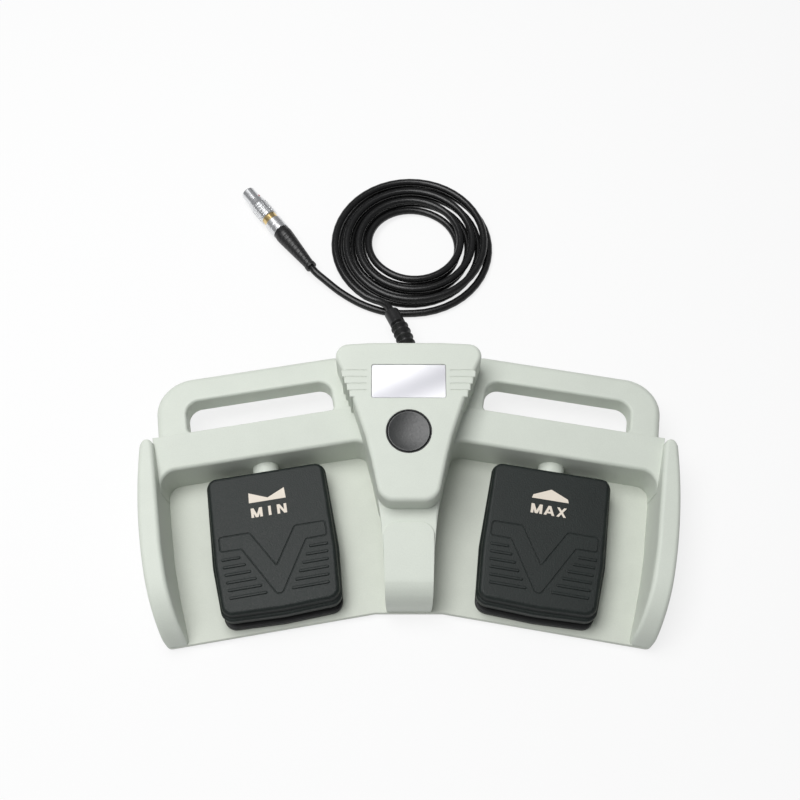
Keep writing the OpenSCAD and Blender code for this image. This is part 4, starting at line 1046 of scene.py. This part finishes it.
def make_cable():
    """One tube along the lead, the coil and the tail."""
    lead, tail = curve_through(LEAD_ROUTE, 6), curve_through(TAIL_ROUTE, 6)
    path = np.concatenate([lead[:-1], coil_path(), tail[1:]])
    made = skin("cable_run", tube_points(path, CABLE / 2, 20), as_given)
    solids = ["cable_lead", "cable_coil", "cable_tail"]
    finished(made, "housing", "jacket", solids, 60, False)
    return made, path


def make_boot():
    """Bellows boot: its radius swings between root and rib as it follows the route, after a
    plain neck and before a plain collar."""
    path = curve_through(BOOT_ROUTE, 40)
    run = run_length(path)
    long = run[-1]
    neck, collar, pitch = 9.5, 11.0, 6.2
    ribs = int((long - collar - neck) / pitch)
    s = np.linspace(0, long, 420)
    phase = ((s - neck) / pitch) % 1.0
    saw = 1 - np.abs(2 * phase - 1)
    swell = np.clip(saw * 1.1, 0, 1) ** 1.3
    radius = np.where(s < neck - 0.6, 5.95, 3.8 + 3.1 * swell)
    last = neck + ribs * pitch
    radius = np.where(s > last, np.clip(4.0 + (s - last) * 1.6, 4.0, 6.0), radius)
    end = np.clip((s - long + 1.2) / 1.2, 0, 1)
    radius = radius - (1 - np.sqrt(1 - end ** 2 * 0.97)) * 1.4
    centre = np.column_stack([np.interp(s, run, path[:, k]) for k in range(3)])
    made = skin("bellows_boot", tube_points(centre, radius, 40), as_given)
    return finished(made, "housing", "boot", ["cable_boot"], 50, False)


def plug_piece(name, rows, corner, start, finish, node_name, weighted=True):
    """A turned piece of the plug that starts at a distance along it."""
    made = lathe(name, rounded(rows, *corner), on_plug(start))
    finished(made, "housing", finish, [node_name], 50, weighted)


def make_plug():
    """Ribbed sleeve, nut with a groove, gold band, knurled grip and core with a hollow nose."""
    slim, wide_end, r = 4.2, 6.98, PLUG_R
    rows = [(0, 0.0), (4.68, 0.0), (4.68, 3.1), (slim, 3.5)]
    for start in np.linspace(3.6, 36, 9)[:-1]:
        wide = slim + (wide_end - slim) * (start - 3.5) / 32.6
        rows += [(wide, start), (wide + 0.34, start + 3.1), (wide + 0.1, start + 3.5)]
    rows += [(wide_end, 36.1), (7.2, 39.6), (6.75, 44.0), (0, 44.0)]
    plug_piece("plug_sleeve_boot", rows, (0.3, 3), 0, "boot", "plug_boot", False)
    rows = [(0, 0), (r - 0.4, 0), (r, 0.4), (r, 5.0), (r - 0.25, 5.3), (r - 0.25, 5.8), (r, 6.1),
            (r, 11.6), (r - 0.4, 12), (0, 12)]
    plug_piece("plug_collet", rows, (0.12, 2), 44, "chrome", "plug_nut")
    rows = [(0, 0), (6.22, 0), (6.22, 6.9), (0, 6.9)]
    plug_piece("plug_band", rows, (0.15, 2), 56, "gold", "plug_ring")
    make_sleeve()
    rows = [(0, 6.9), (6.2, 6.9), (6.2, 25.9), (5.85, 25.95), (5.85, 38.0), (5.5, 38.4), (4.6, 38.4),
            (4.55, 38.2), (4.55, 33.0), (0, 33.0)]
    plug_piece("plug_shell", rows, (0.15, 2), 56, "chrome", "plug_core")


def make_sleeve():
    """Knurled grip: the radius drops in five rings and in eighteen flutes, over a plain rim and
    a tapering front."""
    r, flutes, deep = PLUG_R, 18, 0.3
    h = np.concatenate([[0, 0.2, 0.4], np.linspace(0.8, 14.6, 140), [14.9, 15.4, 17, 19, 20.3, 20.5]])
    edge = np.where(h < 0.4, r - 0.4 + h, r)
    edge = np.where(h > 15.3, r * 0.97 - (h - 15.4) / 5.1 * r * 0.07, edge)
    edge = np.where(h > 20.4, edge - 0.3, edge)
    a = full_turn(216)
    fluted = (np.abs(((a * flutes / (2 * math.pi)) % 1) - 0.5) > 0.37).astype(float)
    rows = np.clip(1.4 - np.abs(((h / 2.87) % 1) - 0.5) * 7, 0, 1)
    zone = ((h > 1.4) & (h < 14.3)).astype(float)
    wide = edge[:, None] - deep * zone[:, None] * np.maximum(rows[:, None], fluted)
    points = np.stack([wide * np.cos(a), wide * np.sin(a), np.broadcast_to(h[:, None], wide.shape)], -1)
    made = skin("plug_grip", points, on_plug(61.4))
    return finished(made, "plug_sleeve_body", "chrome", ["plug_sleeve"], 30)


# Sizes and colours that a user would change

def tone(label, part, *seen):
    """A colour setting, whose first value is given as it is seen, 0 to 255."""
    return bpy.props.FloatVectorProperty(name=label, description="Colour of the " + part, size=3,
                                         subtype="COLOR", min=0, max=1, default=linear(seen))


def number(label, says, first, low, high, **more):
    """A setting with its first value and the range that it keeps to."""
    return bpy.props.FloatProperty(name=label, description=says, default=first, min=low, max=high,
                                   **more)


class FootSwitchTones(bpy.types.PropertyGroup):
    """Colours of the plastics and the print"""

    housing: tone("Housing", "moulded housing", 208, 214, 204)
    tray: tone("Tray", "base tray", 204, 209, 198)
    pedal: tone("Pedal", "pedals", 23, 30, 28)
    button: tone("Button", "mode button", 35, 37, 37)
    print_ink: tone("Print", "printed words", 226, 216, 202)


class FootSwitchStage(bpy.types.PropertyGroup):
    """Camera and light"""

    distance: number("Distance", "Distance of the camera from its target", 0.8, 0.2, 5, unit="LENGTH")
    elevation: number("Elevation", "Height of the camera above the level", math.radians(63), 0, 1.57,
                      subtype="ANGLE")
    lens: number("Lens", "Focal length on a frame 36 mm wide, in millimetres", 46.9, 10, 200)
    key_power: number("Overhead Light", "Power of the large lamp above and behind, in watts",
                      16.5, 0, 500)
    fill_power: number("Fill Light", "Power of the lamp in front, in watts", 0.6, 0, 500)


class BuildStage(bpy.types.Operator):
    """Makes the camera, the floor and the lamps"""

    bl_idname = "foot_switch.stage"
    bl_label = "Stage"

    def execute(self, context):
        scene, stage = context.scene, context.scene.foot_switch_stage
        target = np.array([-0.0062, 0.085, 0.0])
        back = np.array([0, -math.cos(stage.elevation), math.sin(stage.elevation)])
        camera = bpy.data.objects.new("camera", bpy.data.cameras.new("camera"))
        camera.location = target + back * stage.distance
        camera.rotation_euler = (math.pi / 2 - stage.elevation, 0, 0)
        camera.data.lens = stage.lens
        camera.data.sensor_width = 36
        camera.data.clip_start, camera.data.clip_end = 0.01, 50
        scene.collection.objects.link(camera)
        scene.camera = camera

        far = 6000.0
        floor = mesh_object("floor", [[-far, -far, 0], [far, -far, 0], [far, far, 0], [-far, far, 0]],
                            [[0, 1, 2, 3]])
        floor.data.materials.append(stage_material("floor_paper", (0.86, 0.86, 0.86), 0.80))

        self.lamp(scene, "overhead", (-0.38, 0.2, 1.28), (0, 0.0, 0), 1.1, 0.8, stage.key_power)
        self.lamp(scene, "front_fill", (-0.5, -0.75, 0.9), (0, 0.05, 0), 0.9, 0.9, stage.fill_power)
        self.sky(scene)
        scene.view_settings.view_transform = "Standard"
        return {"FINISHED"}

    def lamp(self, scene, name, at, aim, wide, deep, power):
        """An area lamp that looks from one point to another."""
        data = bpy.data.lights.new(name, "AREA")
        data.shape, data.size, data.size_y, data.energy = "RECTANGLE", wide, deep, power
        lamp = bpy.data.objects.new(name, data)
        lamp.location = at
        lamp.rotation_euler = (Vector(aim) - Vector(at)).to_track_quat("-Z", "Y").to_euler()
        scene.collection.objects.link(lamp)

    def sky(self, scene):
        """A faint even light from all round, which the camera sees as white."""
        world = scene.world or bpy.data.worlds.new("world")
        scene.world = world
        world.use_nodes = True
        tree = world.node_tree
        tree.nodes.clear()
        pale = node(tree, "Background", {"Color": (0.97, 0.98, 1.0, 1), "Strength": 0.25})
        white = node(tree, "Background", {"Color": (1, 1, 1, 1), "Strength": 1.0})
        seen = node(tree, "LightPath").outputs["Is Camera Ray"]
        mix = node(tree, "MixShader", {0: seen, 1: pale.outputs[0], 2: white.outputs[0]})
        node(tree, "OutputWorld", {"Surface": mix.outputs[0]})


class BuildCable(bpy.types.Operator):
    """Makes the boot, the coiled cable and its plug"""

    bl_idname = "foot_switch.cable"
    bl_label = "Cable and plug"

    def execute(self, context):
        cable, path = make_cable()
        make_boot()
        make_plug()
        return {"FINISHED"}


class BuildHousing(bpy.types.Operator):
    """Makes the moulded housing over its tray"""

    bl_idname = "foot_switch.housing"
    bl_label = "Housing"

    def execute(self, context):
        make_housing()
        return {"FINISHED"}


class BuildPedals(bpy.types.Operator):
    """Makes both pedals, their base plates and their printed words"""

    bl_idname = "foot_switch.pedals"
    bl_label = "Pedals"

    def execute(self, context):
        for side, hand, text in ((-1, "left", "MIN"), (1, "right", "MAX")):
            make_pedal(hand, side)
            make_pedal_foot(hand, side)
            make_mark(hand, side)
            make_word(hand, side, text)
        return {"FINISHED"}


class BuildControls(bpy.types.Operator):
    """Makes the mode button, its rim and the bare plate"""

    bl_idname = "foot_switch.controls"
    bl_label = "Button and plate"

    def execute(self, context):
        make_button()
        make_plate()
        return {"FINISHED"}


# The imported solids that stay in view, under the finish that they take
CARRIED = {
    "tray": ["base_tray"],
    "rubber": ["rubber_feet", "base_seal"],
    "screw": ["housing_screws", "board_screws", "pedal_screws_left", "pedal_screws_right"],
    "spring": ["button_spring", "pedal_spring_left", "pedal_spring_right"],
    "dark": ["button_switch", "pedal_switch_left", "pedal_switch_right", "plug_insert"],
    "board": ["control_board"],
    "pin": ["hinge_pin_left", "hinge_pin_right"],
    "housing": ["wire_duct_left", "wire_duct_right"],
    "gold": ["plug_contacts"],
    "red": ["plug_key_dot"],
}


def frame_node(name):
    """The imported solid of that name, as it stands in the frame."""
    for one in bpy.context.scene.objects:
        if one.get("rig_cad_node") == name:
            return one
    raise RuntimeError("no packed solid is named " + name)


class FinishCarried(bpy.types.Operator):
    """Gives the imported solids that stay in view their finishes"""

    bl_idname = "foot_switch.carried"
    bl_label = "Carried solids"

    def execute(self, context):
        for finish, names in CARRIED.items():
            for name in names:
                materials = frame_node(name).data.materials
                materials.clear()
                materials.append(finish_named(finish))
        return {"FINISHED"}


class FootSwitchPanel(bpy.types.Panel):
    """Lists the switch's settings and its steps"""

    bl_idname = "VIEW3D_PT_foot_switch"
    bl_label = "Foot Switch"
    bl_space_type = "VIEW_3D"
    bl_region_type = "UI"
    bl_category = "Foot Switch"

    def draw(self, context):
        column = self.layout.column()
        for group in (context.scene.foot_switch_tones, context.scene.foot_switch_stage):
            for name in group.__annotations__:
                column.prop(group, name)
        for step in STEPS:
            column.operator(step.bl_idname)


STEPS = (BuildStage, BuildCable, BuildHousing, BuildPedals, BuildControls, FinishCarried)
CLASSES = (FootSwitchTones, FootSwitchStage, *STEPS, FootSwitchPanel)


def register():
    for one in CLASSES:
        bpy.utils.register_class(one)
    bpy.types.Scene.foot_switch_tones = bpy.props.PointerProperty(type=FootSwitchTones)
    bpy.types.Scene.foot_switch_stage = bpy.props.PointerProperty(type=FootSwitchStage)


def unregister():
    del bpy.types.Scene.foot_switch_stage
    del bpy.types.Scene.foot_switch_tones
    for one in reversed(CLASSES):
        bpy.utils.unregister_class(one)


def main():
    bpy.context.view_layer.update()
    register()
    bpy.ops.foot_switch.stage()
    bpy.ops.foot_switch.cable()
    bpy.ops.foot_switch.housing()
    bpy.ops.foot_switch.pedals()
    bpy.ops.foot_switch.controls()
    bpy.ops.foot_switch.carried()
    bpy.context.view_layer.update()


if __name__ == "__main__":
    main()
